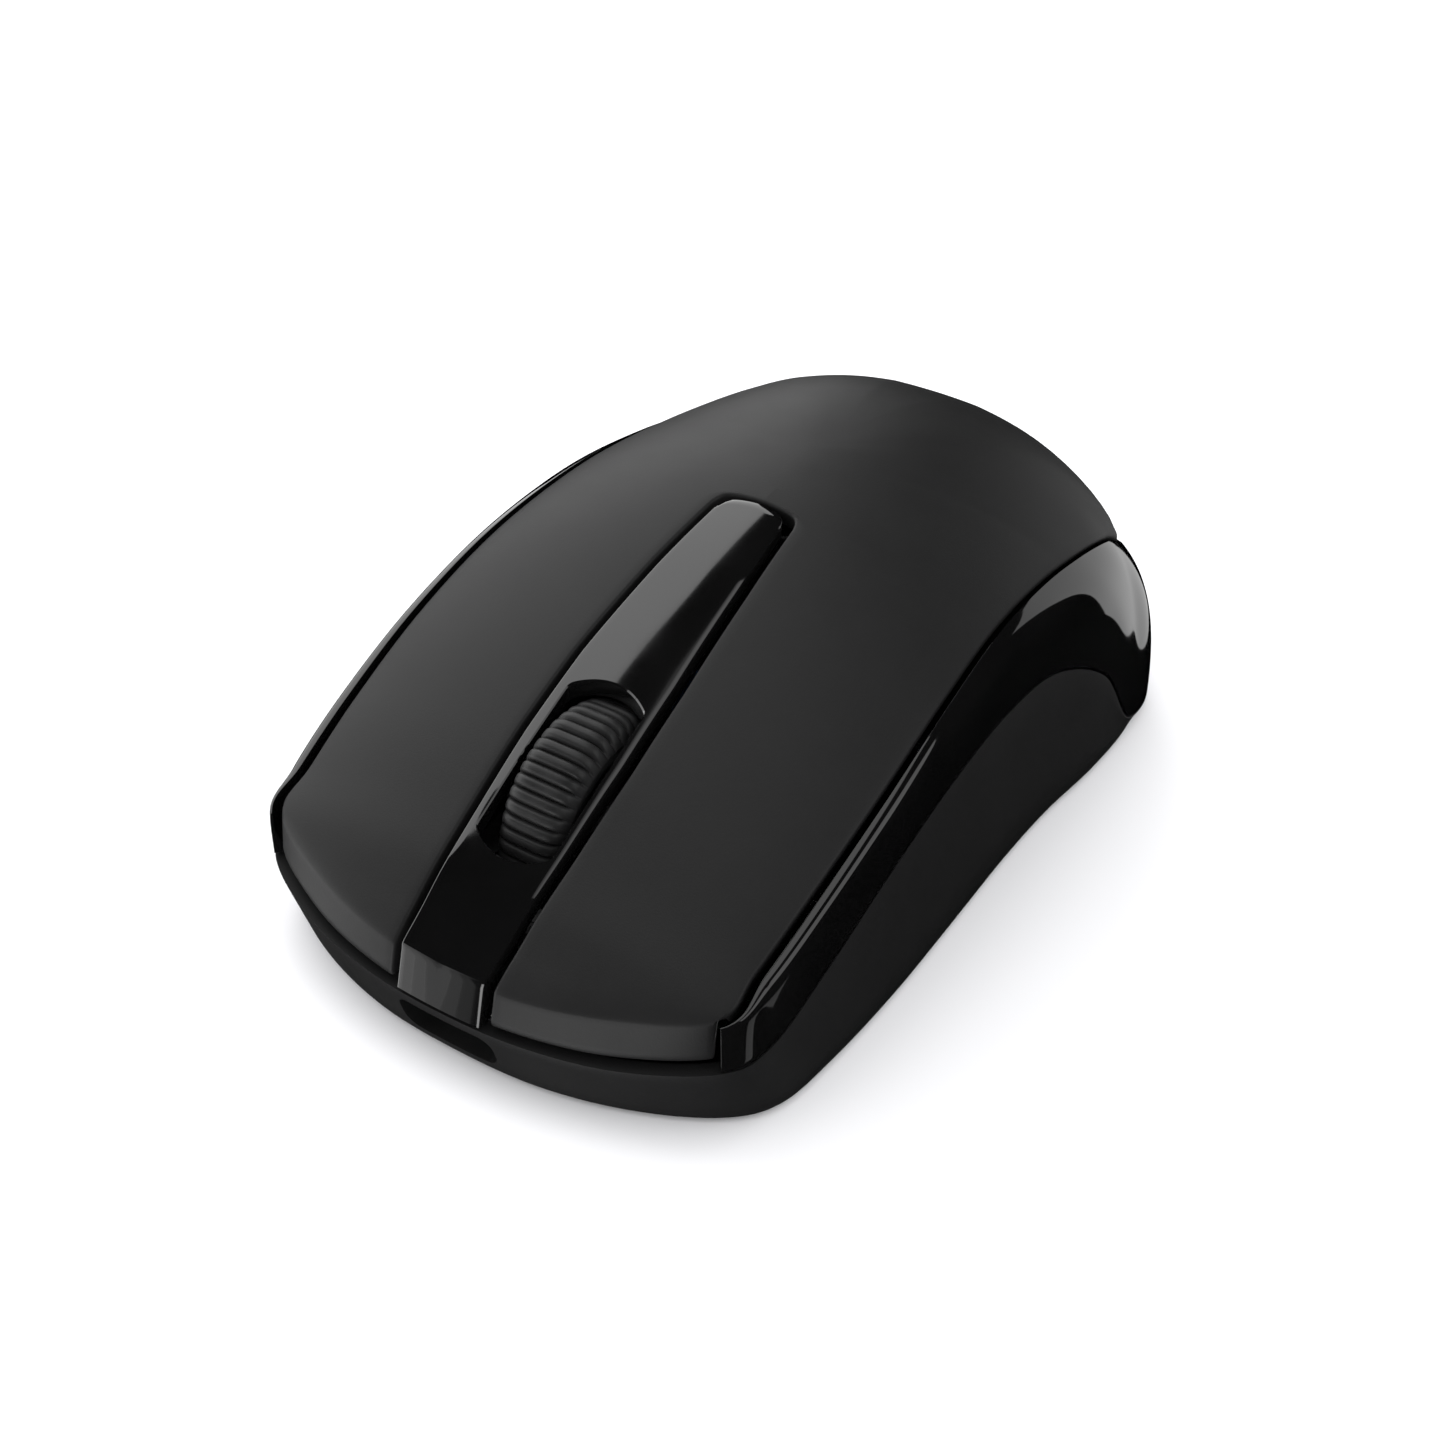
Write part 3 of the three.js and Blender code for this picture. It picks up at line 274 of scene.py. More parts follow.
def loft(name, sections, closed=False, sharp=32):
    """A body from closed sections, one after another, with flat ends unless it is a ring."""
    rows, cols = sections.shape[:2]
    faces = grid_faces(rows, cols, closed, True)
    if not closed:
        faces += [tuple(range(cols))[::-1], tuple(range((rows - 1) * cols, rows * cols))]
    return make(name, sections, faces, sharp)


def prism(name, outline, low, high, axis="z"):
    """A plan outline (or one in x and z, for axis y) carried from low to high."""
    ends = []
    for level in (low, high):
        ends.append([(a, b, level) if axis == "z" else (a, level, b) for a, b in outline])
    return loft(name, np.array(ends, float))


def round_bar(x, y, length, width, turn=0.0, steps=16):
    """Outline of a bar with round ends."""
    points = []
    for side in (1, -1):
        for k in range(steps + 1):
            a = math.pi * (k / steps - 0.5) + (0 if side > 0 else math.pi)
            px = side * (length - width) / 2 + math.cos(a) * width / 2
            py = math.sin(a) * width / 2
            points.append((x + px * math.cos(turn) - py * math.sin(turn),
                           y + px * math.sin(turn) + py * math.cos(turn)))
    return points


def rectangle(low, high, radius=0.3, steps=4):
    """Outline of a rectangle with rounded corners."""
    (x0, y0), (x1, y1) = low, high
    corners = [(x1 - radius, y0 + radius, -90), (x1 - radius, y1 - radius, 0),
               (x0 + radius, y1 - radius, 90), (x0 + radius, y0 + radius, 180)]
    return [(cx + radius * math.cos(math.radians(a + 90 * k / steps)),
             cy + radius * math.sin(math.radians(a + 90 * k / steps)))
            for cx, cy, a in corners for k in range(steps + 1)]


def disc(x, y, r, sides=32):
    """Outline of a circle."""
    turn = 2 * math.pi / sides
    return [(x + r * math.cos(k * turn), y + r * math.sin(k * turn)) for k in range(sides)]


def frozen(obj, sharp=32):
    """Applies the modifiers of an object to its mesh."""
    graph = bpy.context.evaluated_depsgraph_get()
    mesh = bpy.data.meshes.new_from_object(obj.evaluated_get(graph))
    obj.modifiers.clear()
    obj.data = mesh
    clean(mesh, sharp)
    return obj


def combined(obj, others, operation, sharp=32):
    """Adds other objects to obj, or cuts them from it, and removes them."""
    for other in others:
        modifier = obj.modifiers.new("combine", "BOOLEAN")
        modifier.operation = operation
        modifier.solver = "MANIFOLD"
        modifier.object = other
    frozen(obj, sharp)
    for other in others:
        bpy.data.objects.remove(other)
    return obj


def bevelled(obj, width, segments=2, angle=40, sharp=32):
    """Rounds the edges that turn by more than an angle."""
    modifier = obj.modifiers.new("bevel", "BEVEL")
    modifier.width = width * MM
    modifier.segments = segments
    modifier.limit_method = "ANGLE"
    modifier.angle_limit = math.radians(angle)
    return frozen(obj, sharp)


def copied(node, name):
    """A loose copy of a CAD node."""
    obj = bpy.data.objects.new(name, frame["nodes"][node].data.copy())
    bpy.context.scene.collection.objects.link(obj)
    return obj


def node_box(node):
    """Lowest and highest corner of a CAD node, in millimetres from the nose."""
    return [np.array(c) / MM + (0, NOSE_TO_CENTRE, 0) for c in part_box(node)]


# ---- Materials ----------------------------------------------------------------------------
def new_material(name, **inputs):
    """A material and its shader; an input's name has underscores for spaces."""
    material = bpy.data.materials.new(name)
    material.use_nodes = True
    shader = material.node_tree.nodes["Principled BSDF"]
    for key, value in inputs.items():
        shader.inputs[key.replace("_", " ")].default_value = value
    return material, shader


def add_node(material, kind, **values):
    """A shader node with settings or inputs filled in."""
    node = material.node_tree.nodes.new(kind)
    for key, value in values.items():
        if hasattr(node, key):
            setattr(node, key, value)
        else:
            node.inputs[key.replace("_", " ")].default_value = value
    return node


def connect(material, source, target):
    material.node_tree.links.new(source, target)


def noise(material, size_mm, detail=2.0, roughness=0.5, stretch=(1, 1, 1)):
    """A noise pattern in the object's own space with features of the given size."""
    place = add_node(material, "ShaderNodeTexCoord")
    scale = add_node(material, "ShaderNodeMapping")
    scale.inputs["Scale"].default_value = [k / (size_mm * MM) for k in stretch]
    pattern = add_node(material, "ShaderNodeTexNoise", Scale=1.0, Detail=detail, Roughness=roughness)
    connect(material, place.outputs["Object"], scale.inputs["Vector"])
    connect(material, scale.outputs["Vector"], pattern.inputs["Vector"])
    return pattern.outputs["Fac"]


def spread(material, value, low, high, start=0.3, end=0.7):
    """Maps a pattern between two numbers."""
    remap = add_node(material, "ShaderNodeMapRange")
    for key, number in (("From Min", start), ("From Max", end), ("To Min", low), ("To Max", high)):
        remap.inputs[key].default_value = number
    connect(material, value, remap.inputs["Value"])
    return remap.outputs["Result"]


def tint(material, value, low, high, start=0.3, end=0.7):
    """Maps a pattern between two colours."""
    ramp = add_node(material, "ShaderNodeValToRGB")
    ramp.color_ramp.elements[0].position = start
    ramp.color_ramp.elements[1].position = end
    ramp.color_ramp.elements[0].color = (*low, 1)
    ramp.color_ramp.elements[1].color = (*high, 1)
    connect(material, value, ramp.inputs["Fac"])
    return ramp.outputs["Color"]


def bump(material, shader, value, depth_mm):
    """Raises the surface by a pattern of the given depth."""
    node = add_node(material, "ShaderNodeBump", Strength=1.0, Distance=depth_mm * MM)
    connect(material, value, node.inputs["Height"])
    connect(material, node.outputs["Normal"], shader.inputs["Normal"])


def plastic(name, dark, light, rough, grain_mm, grain_depth, specular=0.5):
    """Moulded plastic with a fine grain and a slow variation of tone and sheen."""
    material, shader = new_material(name, Specular_IOR_Level=specular)
    slow = noise(material, 6, 4, 0.7)
    fine = noise(material, grain_mm, 2, 0.6)
    connect(material, tint(material, slow, dark, light), shader.inputs["Base Color"])
    connect(material, spread(material, slow, *rough), shader.inputs["Roughness"])
    bump(material, shader, fine, grain_depth)
    return material


def gloss(name, dark, light, rough):
    """Polished plastic with faint handling marks in its sheen."""
    inputs = {"Specular_IOR_Level": 0.5, "Coat_Weight": 0.5, "Coat_Roughness": 0.03}
    material, shader = new_material(name, **inputs)
    smears = noise(material, 14, 4, 0.6)
    waves = noise(material, 6, 1)
    connect(material, tint(material, smears, dark, light), shader.inputs["Base Color"])
    connect(material, spread(material, smears, *rough), shader.inputs["Roughness"])
    bump(material, shader, waves, 0.0015)
    return material


def metal(name, dark, light, rough):
    """Drawn or stamped metal with fine lines in one direction."""
    material, shader = new_material(name, Metallic=1.0)
    lines = noise(material, 0.6, 3, 0.6, stretch=(1, 1, 12))
    connect(material, tint(material, lines, dark, light), shader.inputs["Base Color"])
    connect(material, spread(material, lines, *rough), shader.inputs["Roughness"])
    bump(material, shader, lines, 0.004)
    return material


def rubber(name, dark, light):
    """Matt rubber with a little dust."""
    material, shader = new_material(name, Specular_IOR_Level=0.4)
    dust = noise(material, 2.5, 4, 0.6)
    fine = noise(material, 0.12, 2)
    connect(material, tint(material, dust, dark, light), shader.inputs["Base Color"])
    connect(material, spread(material, dust, 0.38, 0.52), shader.inputs["Roughness"])
    bump(material, shader, fine, 0.006)
    return material


def board_lacquer(name, dark, light):
    """Lacquer over faintly raised copper tracks."""
    material, shader = new_material(name, Coat_Weight=0.15, Coat_Roughness=0.3)
    place = add_node(material, "ShaderNodeTexCoord")
    tracks = add_node(material, "ShaderNodeTexBrick", offset=0.37, squash=1.6, squash_frequency=3)
    for key, number in (("Scale", 260.0), ("Mortar Size", 0.03), ("Mortar Smooth", 0.2),
                        ("Brick Width", 1.9), ("Row Height", 0.24)):
        tracks.inputs[key].default_value = number
    connect(material, place.outputs["Object"], tracks.inputs["Vector"])
    colours = tint(material, tracks.outputs["Fac"], dark, light, 0.2, 0.8)
    connect(material, colours, shader.inputs["Base Color"])
    connect(material, spread(material, noise(material, 3), 0.25, 0.4), shader.inputs["Roughness"])
    bump(material, shader, tracks.outputs["Fac"], 0.03)
    return material


def jacket(name, body, band):
    """A cell's printed film: its body, and a band at the raised terminal's end."""
    material, shader = new_material(name, Coat_Weight=0.6, Coat_Roughness=0.1, Metallic=0.3)
    place = add_node(material, "ShaderNodeTexCoord")
    split = add_node(material, "ShaderNodeSeparateXYZ")
    connect(material, place.outputs["Object"], split.inputs["Vector"])
    share = spread(material, split.outputs["Y"], 0, 1, 0.0318, 0.0322)
    connect(material, tint(material, share, body, band, 0.4, 0.6), shader.inputs["Base Color"])
    connect(material, spread(material, noise(material, 5), 0.25, 0.38), shader.inputs["Roughness"])
    return material


def clear(name, colour):
    """Clear or tinted plastic with a slight haze."""
    material, shader = new_material(name, Transmission_Weight=0.9, IOR=1.49)
    haze = noise(material, 4, 3)
    tinted = tuple(c * 0.85 for c in colour)
    connect(material, tint(material, haze, tinted, colour), shader.inputs["Base Color"])
    connect(material, spread(material, haze, 0.04, 0.12), shader.inputs["Roughness"])
    return material


def grey(value):
    """A neutral colour with a trace of blue."""
    return (value, value, value * 1.02)


def slot_materials():
    """One material for each slot of the record: the maker, then what it takes after the name."""
    recipes = {
        "matte_shell": (plastic, grey(0.0095), grey(0.0105), (0.46, 0.49), 0.2, 0.012, 0.27),
        "gloss_trim": (gloss, grey(0.0022), grey(0.0034), (0.03, 0.07)),
        "inner_plastic": (plastic, grey(0.018), grey(0.026), (0.45, 0.6), 0.3, 0.008),
        "tyre_rubber": (rubber, (0.008, 0.008, 0.0083), (0.013, 0.013, 0.0133)),
        "bright_steel": (metal, grey(0.5), grey(0.66), (0.22, 0.38)),
        "rotor_brass": (metal, (0.6, 0.42, 0.17), (0.74, 0.55, 0.26), (0.25, 0.4)),
        "board": (board_lacquer, (0.002, 0.009, 0.005), (0.004, 0.02, 0.01)),
        "chip_black": (plastic, grey(0.012), grey(0.02), (0.35, 0.5), 0.15, 0.006),
        "clear_lens": (clear, (0.9, 0.93, 0.95)),
        "glide": (plastic, grey(0.03), grey(0.045), (0.3, 0.42), 0.5, 0.004),
        "plunger_red": (plastic, (0.36, 0.02, 0.02), (0.5, 0.04, 0.03), (0.3, 0.4), 0.3, 0.004),
        "diode_red": (clear, (0.7, 0.04, 0.03)),
        "plunger_white": (plastic, grey(0.7), grey(0.8), (0.3, 0.45), 0.3, 0.004),
        "cell_jacket": (jacket, (0.02, 0.05, 0.11), (0.62, 0.6, 0.54)),
    }
    return {slot: maker(slot, *values) for slot, (maker, *values) in recipes.items()}


# ---- Casing -------------------------------------------------------------------------------
def rim_steps():
    """Fractions across a rounded edge, short of its end, and how far it has dropped there."""
    return (1 - np.cos(ROUND))[:-1], (COVER_RIM * (1 - np.sin(ROUND)))[:-1]


def offset_plan(curve, distance):
    """A plan curve moved sideways, to the left of its direction."""
    run = np.gradient(curve, axis=0)
    side = np.stack([-run[:, 1], run[:, 0]], 1)
    return curve + side / np.linalg.norm(side, axis=1, keepdims=True) * distance


def channel_edge(count):
    """The channel's right edge in plan, from the nose to its rear end on the middle plane."""
    start, end = 0.1, CHANNEL_END - CHANNEL_BOW - CHANNEL_CORNER
    y = np.linspace(start, end, int(count * 0.8))
    straight = np.stack([by_y(STRIP_HALF, y) + CHANNEL, y], 1)
    t = np.linspace(1, 0, count - len(y) + 1)[1:] ** 0.8
    half = by_y(STRIP_HALF, end) + CHANNEL
    rear = CHANNEL_END - CHANNEL_BOW * t ** 2 - CHANNEL_CORNER * t ** 14
    return np.vstack([straight, np.stack([half * t, rear], 1)])


def coons(front, rear, inner, outer):
    """A plan patch between four border curves, as rows from front to rear."""
    u = FRACTIONS[None, :, None]
    v = np.linspace(0, 1, len(inner))[:, None, None]
    ruled = (1 - v) * front[None] + v * rear[None] + (1 - u) * inner[:, None] + u * outer[:, None]
    corners = ((1 - u) * (1 - v) * front[0] + u * (1 - v) * front[-1]
               + (1 - u) * v * inner[-1] + u * v * outer[-1])
    return ruled - corners


def finger_inner_edges():
    """The finger's inner edge, past the channel's end to the split, and the line inside its rim."""
    edge = channel_edge(FINGER_ROWS - SPINE_ROWS)
    inside = offset_plan(edge, -COVER_RIM)
    inside[-1, 0] = 0
    y = np.linspace(inside[-1, 1], along(RIDGE, SPLIT)[0], SPINE_ROWS + 1)[1:]
    spine = np.stack([0 * y, y], 1)
    return np.vstack([edge, spine]), np.vstack([inside, spine])


def finger_ends(inner, seam, outer):
    """Border lines of the finger's top at its crease and at the split."""
    front = along(SEAM, INNER_STATION + (CORNER - INNER_STATION) * FRACTIONS)[:, :2]
    front[0], front[-1] = inner[0], outer[0]
    middle = (0, along(RIDGE, SPLIT)[0])
    reach = np.linalg.norm(outer[-1] - middle) / np.linalg.norm(seam[-1] - middle)
    rear = crown(np.full(len(FRACTIONS), SPLIT), FRACTIONS * reach)[:, :2]
    rear[-1] = outer[-1]
    return front, rear


def finger_top():
    """The right finger's top surface, the directions into it, and how far its rims drop."""
    edge, inner = finger_inner_edges()
    stations = CORNER + (SPLIT - CORNER) * np.linspace(0, 1, FINGER_ROWS)
    seam, outer = along(SEAM, stations)[:, :2], inset(SEAM, stations, COVER_RIM)[:, :2]
    patch = coons(*finger_ends(inner, seam, outer), inner, outer)
    across, drop = rim_steps()
    left = [edge + (inner - edge) * k for k in across]
    right = [seam + (outer - seam) * k for k in across][::-1]
    plan = np.concatenate([np.stack(left, 1), patch, np.stack(right, 1)], 1)
    drops = np.tile(np.concatenate([drop, 0 * FRACTIONS, drop[::-1]]), (FINGER_ROWS, 1))
    drops[-SPINE_ROWS:, :len(drop)] = 0         # the two fingers meet there, with no rim
    x, y = plan[..., 0], plan[..., 1]
    return np.stack([x, y, crown_height(x, y)], -1), -crown_normal(x, y), drops


def finger_foot(x):
    """Lower edge of the finger's front face at each x, and the directions into the face."""
    table = np.linspace(0, CORNER, 200)
    s = np.interp(x, along(SEAM, table)[:, 0], table)
    share = (s - s[0]) / (s[-1] - s[0])
    lip = along(LIP, s)
    low = np.stack([x, lip[:, 1] + 0.25 + 0.2 * share, lip[:, 2] + 0.7], 1)
    return low, -plan_normal(SEAM, s)


def finger(name, side):
    """A button finger with its front face, crease, rounded edges and underside."""
    top, down, drops = finger_top()
    low, inward = finger_foot(top[0, :, 0])
    steps = np.linspace(0, 1, 9)[:, None, None]
    face = low + (top[0] - low) * (steps * 0.9)
    t = np.linspace(0, 1, 7)[1:-1, None, None]
    crease = bend(face[-1], top[0], top[CREASE_ROWS], t)
    outer = np.concatenate([face, crease, top[CREASE_ROWS:]])
    turn = np.concatenate([0 * steps, t])
    facing = inward * (1 - turn) + down[0] * turn
    facing /= np.linalg.norm(facing, axis=2, keepdims=True)
    facing = np.concatenate([facing, down[CREASE_ROWS:]])
    drops = np.concatenate([np.repeat(drops[:1], len(turn), 0), drops[CREASE_ROWS:]])
    inner = outer + facing * COVER_WALL
    outer = outer + facing * drops[..., None]
    outer[0] += facing[0] * 0.25                # softens the lower edge
    mirror = np.array([side, 1, 1])
    return thick_sheet(name, outer * mirror, inner * mirror, sharp=50)


def palm_normal(s, r):
    """Directions out of the crown at station s, from its slopes along and across."""
    def at(station, fraction):
        return crown(np.full(len(r), station), fraction)

    across = at(s, r) - at(s, r - 0.004)
    lengthwise = at(min(s + 0.05, TAIL), r) - at(max(s - 0.05, SPLIT), r)
    normal = np.cross(across, lengthwise)
    normal[0] = (0, 0, 1)
    normal /= np.linalg.norm(normal, axis=1, keepdims=True)
    normal[normal[:, 2] < 0] *= -1
    return normal


def palm_section(s):
    """Skin and underside of the cover's right half at one station, from the middle to the seam."""
    across, drop = rim_steps()
    middle = np.array([0, along(RIDGE, s)[0]])
    reach = 1 - COVER_RIM / np.linalg.norm(along(SEAM, s)[:2] - middle)
    r = np.concatenate([FRACTIONS * reach, 1 - (1 - reach) * across[::-1]])
    drops = np.concatenate([0 * FRACTIONS, drop[::-1]])
    points = crown(np.full(len(r), s), r)
    normal = palm_normal(s, np.minimum(r, reach))
    return points - normal * drops[:, None], points - normal * COVER_WALL


def palm():
    """The palm cover from the split to the tail, in one piece across the middle."""
    outer, inner = [], []
    for s in np.linspace(SPLIT, TAIL, 90):
        skin, under = palm_section(s)
        outer.append(np.vstack([skin[:0:-1] * MIRRORED_X, skin]))
        inner.append(np.vstack([under[:0:-1] * MIRRORED_X, under]))
    return thick_sheet("palm_cover_skin", np.array(outer), np.array(inner), 50, folded=True)


def mirrored(ring):
    """Sections of the right side, met on the middle plane, mirrored from the tail forward."""
    return ring[::-1][1:] * MIRRORED_X


def belt():
    """The glossy belt, from the nose's right corner round the tail to the left corner."""
    s = np.linspace(CORNER, TAIL, (TAIL - CORNER) * FINE + 1)
    up = np.array([0, 0, 1.0])
    face = belt_curve(s, np.linspace(0, 1, 30) ** 0.9)
    depth = np.minimum(1 + (s - CORNER) / 2, 1.8)
    lip = along(LIP, s) - plan_normal(LIP, s) * depth[:, None] + up * 0.2
    right = np.concatenate([face, (face[:, -1] - up * 2.2)[:, None], lip[:, None]], 1)
    body = loft("gloss_belt_skin", np.concatenate([right, mirrored(right)]), sharp=40)
    return bevelled(body, BELT_BEVEL, 3, 45, 40)


def base_wall():
    """The base's side wall, as a closed ring of sections round the mouse."""
    s = np.linspace(0, TAIL, TAIL * FINE + 1)
    lip, foot = along(LIP, s), along(FLOOR, s)
    top = lip[:, 2] - lip_gap(s)
    crest = np.column_stack([lip[:, :2], top])
    low = np.minimum(top, 1.5)
    rows = [inset(FLOOR, s, distance, z)
            for distance, z in ((3, 0.6), (0.85, 0.6), (0.4, 0.65), (0.12, 0.85))]
    rows += [foot + (crest - foot) * v for v in (0, 0.2, 0.4, 0.6, 0.8, 0.95)]
    rows += [inset(LIP, s, 0.06, top), inset(LIP, s, 1.7, top)]
    rows += [inset(FLOOR, s, 2.1, low), inset(FLOOR, s, 3, low)]
    right = np.stack(rows, 1)
    return loft("base_skin", np.concatenate([right, mirrored(right)[:-1]]), closed=True)


def base_plate():
    """The base's floor, which overlaps the foot of its wall."""
    right = inset(FLOOR, np.linspace(0, TAIL, 57), 2.6)
    ring = np.vstack([right, mirrored(right)[:-1]])
    return prism("plate", ring[:, :2].tolist(), 0.6, 2.4)


def around(node, low, high, radius=0.3):
    """A cutter that leaves the gap round a CAD node seen from above."""
    a, b = node_box(node)
    return prism("cut", rectangle(a[:2] - GAP, b[:2] + GAP, radius), low, high)


def receiver_outline(clearance):
    """A plan outline round the parked receiver."""
    low, high = node_box("receiver_cap")
    x, y, _ = (low + high) / 2
    wide, long, _ = high - low
    return round_bar(x, y, long + clearance, wide + clearance, math.pi / 2)


def screw_bosses():
    """The bosses for the case screws and board screws."""
    bosses = []
    for side in (-1, 1):
        bosses.append(prism("boss", disc(side * CASE_SCREW[0], CASE_SCREW[1], 3.6), 0.8, 5))
        bosses.append(prism("boss", disc(side * BOARD_SCREW[0], BOARD_SCREW[1], 2.6), 0.8, 5.4))
    return bosses


def screw_holes():
    """The holes for the case screws: a wide one for the head and a narrow one for the shank."""
    holes = []
    for side in (-1, 1):
        for radius, top in ((2.4, 3.2), (1.35, 6)):
            holes.append(prism("hole", disc(side * CASE_SCREW[0], CASE_SCREW[1], radius), 0, top))
    return holes


def base():
    """The base: wall, plate, bosses and bays, with the openings underneath and at the nose."""
    walls = [prism("wall", rectangle((-8.6, y), (8.6, y + 0.8), 0.2), 2, 12) for y in BAY_WALLS_Y]
    well = prism("well", receiver_outline(3), 0.8, 20.6)
    body = combined(base_wall(), [base_plate(), well, *walls, *screw_bosses()], "UNION")
    cutters = [prism("bay", receiver_outline(2 * GAP), 0, 19.4), around("battery_door", 0, 3)]
    cutters += screw_holes()
    cutters.append(prism("port", rectangle((-5.7, 1.9), (5.7, 6.3), 1.6, 6), -4, 2.6, "y"))
    cutters.append(prism("lens", rectangle((-5, 34.5), (5, 42.5), 0.8), 0, 3))
    cutters.append(prism("knob", round_bar(-14.25, 38.5, 6.9, 3.8), 0, 3))
    for _, x, y, length, width, turn in FEET:
        outline = round_bar(x, y, length + 2 * GAP, width + 2 * GAP, turn)
        cutters.append(prism("foot", outline, 0, 1))
    return combined(body, cutters, "DIFFERENCE")


# ---- Centre strip and wheel ---------------------------------------------------------------
def strip_height(x, y):
    """Height of the strip's top; ahead of the crown's first row it keeps that row's slope."""
    first, step = 0.6, 0.5
    at_first = crown_height(x, np.maximum(y, first))
    slope = (crown_height(x, first + step + 0 * y) - crown_height(x, first + 0 * y)) / step
    return at_first + np.minimum(y - first, 0) * slope + STRIP_PROUD


def strip_profile():
    """Places across the strip from -1 to 1, how far each drops, and how far it is pulled in."""
    side_drop, side_pull = np.array([1, 0.29, 0.05]), np.array([0, 0.29, 0.7])
    flat = 21
    across = np.concatenate([[-1, -1, -1], np.linspace(-1, 1, flat), [1, 1, 1]])
    drops = np.concatenate([side_drop, np.zeros(flat), side_drop[::-1]]) * STRIP_RIM
    pull = np.concatenate([side_pull, np.ones(flat), side_pull[::-1]]) * STRIP_RIM
    return across, drops, pull


def strip_top(across, drops, pull, front):
    """Rows of the strip's top and of its underside, from the fold back to the bowed end."""
    end = STRIP_END - STRIP_BOW * across ** 2 - 1.1 * np.abs(across) ** 14
    outer, inner = [], []
    for k in np.linspace(0, 1, 110):
        y = front + (end - front) * k
        x = across * (by_y(STRIP_HALF, y) - pull)
        z = strip_height(x, y)
        end_drop = STRIP_RIM * max(0.0, 1 - (1 - k) * STRIP_LENGTH / STRIP_RIM)
        outer.append(np.stack([x, y, z - np.maximum(drops, end_drop)], 1))
        inner.append(np.stack([x, np.maximum(y, STRIP_EDGE_Y + STRIP_THICK), z - STRIP_THICK], 1))
    return np.array(outer), np.array(inner)


def strip():
    """The glossy strip with its fold at the nose, its bowed end and the wheel slot."""
    across, drops, pull = strip_profile()
    bulge = STRIP_BULGE * across ** 2           # the front face is slightly rounded from side to side
    outer, inner = strip_top(across, drops, pull, STRIP_EDGE_Y + bulge)
    fold = outer[0]
    foot = np.stack([fold[:, 0], STRIP_FOOT[0] + bulge, np.full(len(across), STRIP_FOOT[1])], 1)
    face = [foot + (fold - foot) * t for t in np.linspace(0, 0.95, 12)]
    turn = [bend(face[-1], fold, outer[1], t) for t in np.linspace(0, 1, 6)[1:-1]]
    front = np.array(face + turn)
    back = front + (0, STRIP_THICK, 0)
    back[len(face):, :, 2] = inner[0, :, 2]
    front[:len(face), :, 1] += drops
    skin, under = np.concatenate([front, outer[1:]]), np.concatenate([back, inner[1:]])
    body = thick_sheet("centre_strip_skin", skin, under, sharp=40)
    return combined(body, [slot_cutter()], "DIFFERENCE", 28)


def evenly(outline, count):
    """Points spread evenly along a closed outline."""
    closed = np.vstack([outline, outline[:1]])
    run = np.concatenate([[0], np.cumsum(np.linalg.norm(np.diff(closed, axis=0), axis=1))])
    at = np.linspace(0, run[-1], count, endpoint=False)
    return np.stack([np.interp(at, run, closed[:, k]) for k in (0, 1)], 1)


def outward(outline, distance):
    """A closed outline, in either sense, moved away from its middle."""
    run = np.roll(outline, -1, 0) - np.roll(outline, 1, 0)
    side = np.stack([run[:, 1], -run[:, 0]], 1)
    side /= np.linalg.norm(side, axis=1, keepdims=True)
    away = np.sign((side * (outline - outline.mean(0))).sum())
    return outline + side * away * distance


def slot_cutter():
    """The wheel slot with softly rounded corners and a fine chamfer round its upper rim."""
    t = np.linspace(-1, 1, 25)
    front = np.stack([t * SLOT_HALF, SLOT_FRONT - SLOT_BOW * (1 - t ** 2)], 1)
    rear = np.stack([-t * SLOT_HALF, SLOT_REAR + SLOT_BOW * (1 - t ** 2)], 1)
    outline = evenly(np.vstack([front, rear]), 180)
    for _ in range(3):                          # rounds the corners
        outline = (np.roll(outline, 1, 0) + 2 * outline + np.roll(outline, -1, 0)) / 4
    levels = []
    for offset, rise in ((0, -12), (0, 0.03 - SLOT_CHAMFER), (SLOT_CHAMFER, 0.03)):
        ring = outward(outline, offset)
        levels.append(np.column_stack([ring, strip_height(ring[:, 0], ring[:, 1]) + rise]))
    levels.append(np.column_stack([ring, np.full(len(ring), 60.0)]))
    return loft("slot", np.array(levels))


def tyre_section():
    """Across the tyre: x, the radius at the foot of the ribs, and their height."""
    t = np.linspace(-1, 1, 23)
    swell = (CROWN_R - RIM_R) * (1 - np.abs(t) ** 4)
    shoulder = np.abs(t) ** 5
    height = RIB_HEIGHT * np.clip((1 - np.abs(t)) * 6, 0, 1) ** 0.5
    return t * TYRE_HALF, RIM_R - 0.45 + swell - shoulder, height


def tyre():
    """The ribbed rubber tyre: rounded bars across it with narrow grooves between them."""
    samples = 12                                # points round the tyre for each rib
    turns = np.linspace(0, 2 * math.pi, RIBS * samples, endpoint=False)[:, None]
    phase = (np.arange(RIBS * samples) % samples)[:, None] / samples
    bar = 1 - np.abs(2 * phase - 1) ** 3.2
    x, groove, height = tyre_section()
    seat = np.full((len(turns), 1), RIM_R - 1.8)
    edge = np.full((len(turns), 1), TYRE_HALF - 0.35)
    radius = np.concatenate([seat, groove + bar * height, seat], 1)
    x = np.concatenate([-edge, np.repeat(x[None], len(turns), 0), edge], 1)
    points = np.stack([x, WHEEL_Y + radius * np.cos(turns), WHEEL_Z + radius * np.sin(turns)], -1)
    return make("wheel_tyre_skin", points, grid_faces(*points.shape[:2], True, True), 60)


def softened(node, width, angle=30):
    """A copy of a CAD node with its edges rounded, as they are moulded or stamped."""
    obj = copied(node, node + "_soft")
    clean(obj.data, angle)
    dissolve_flats(obj.data)
    return bevelled(obj, width, 2, angle, angle)


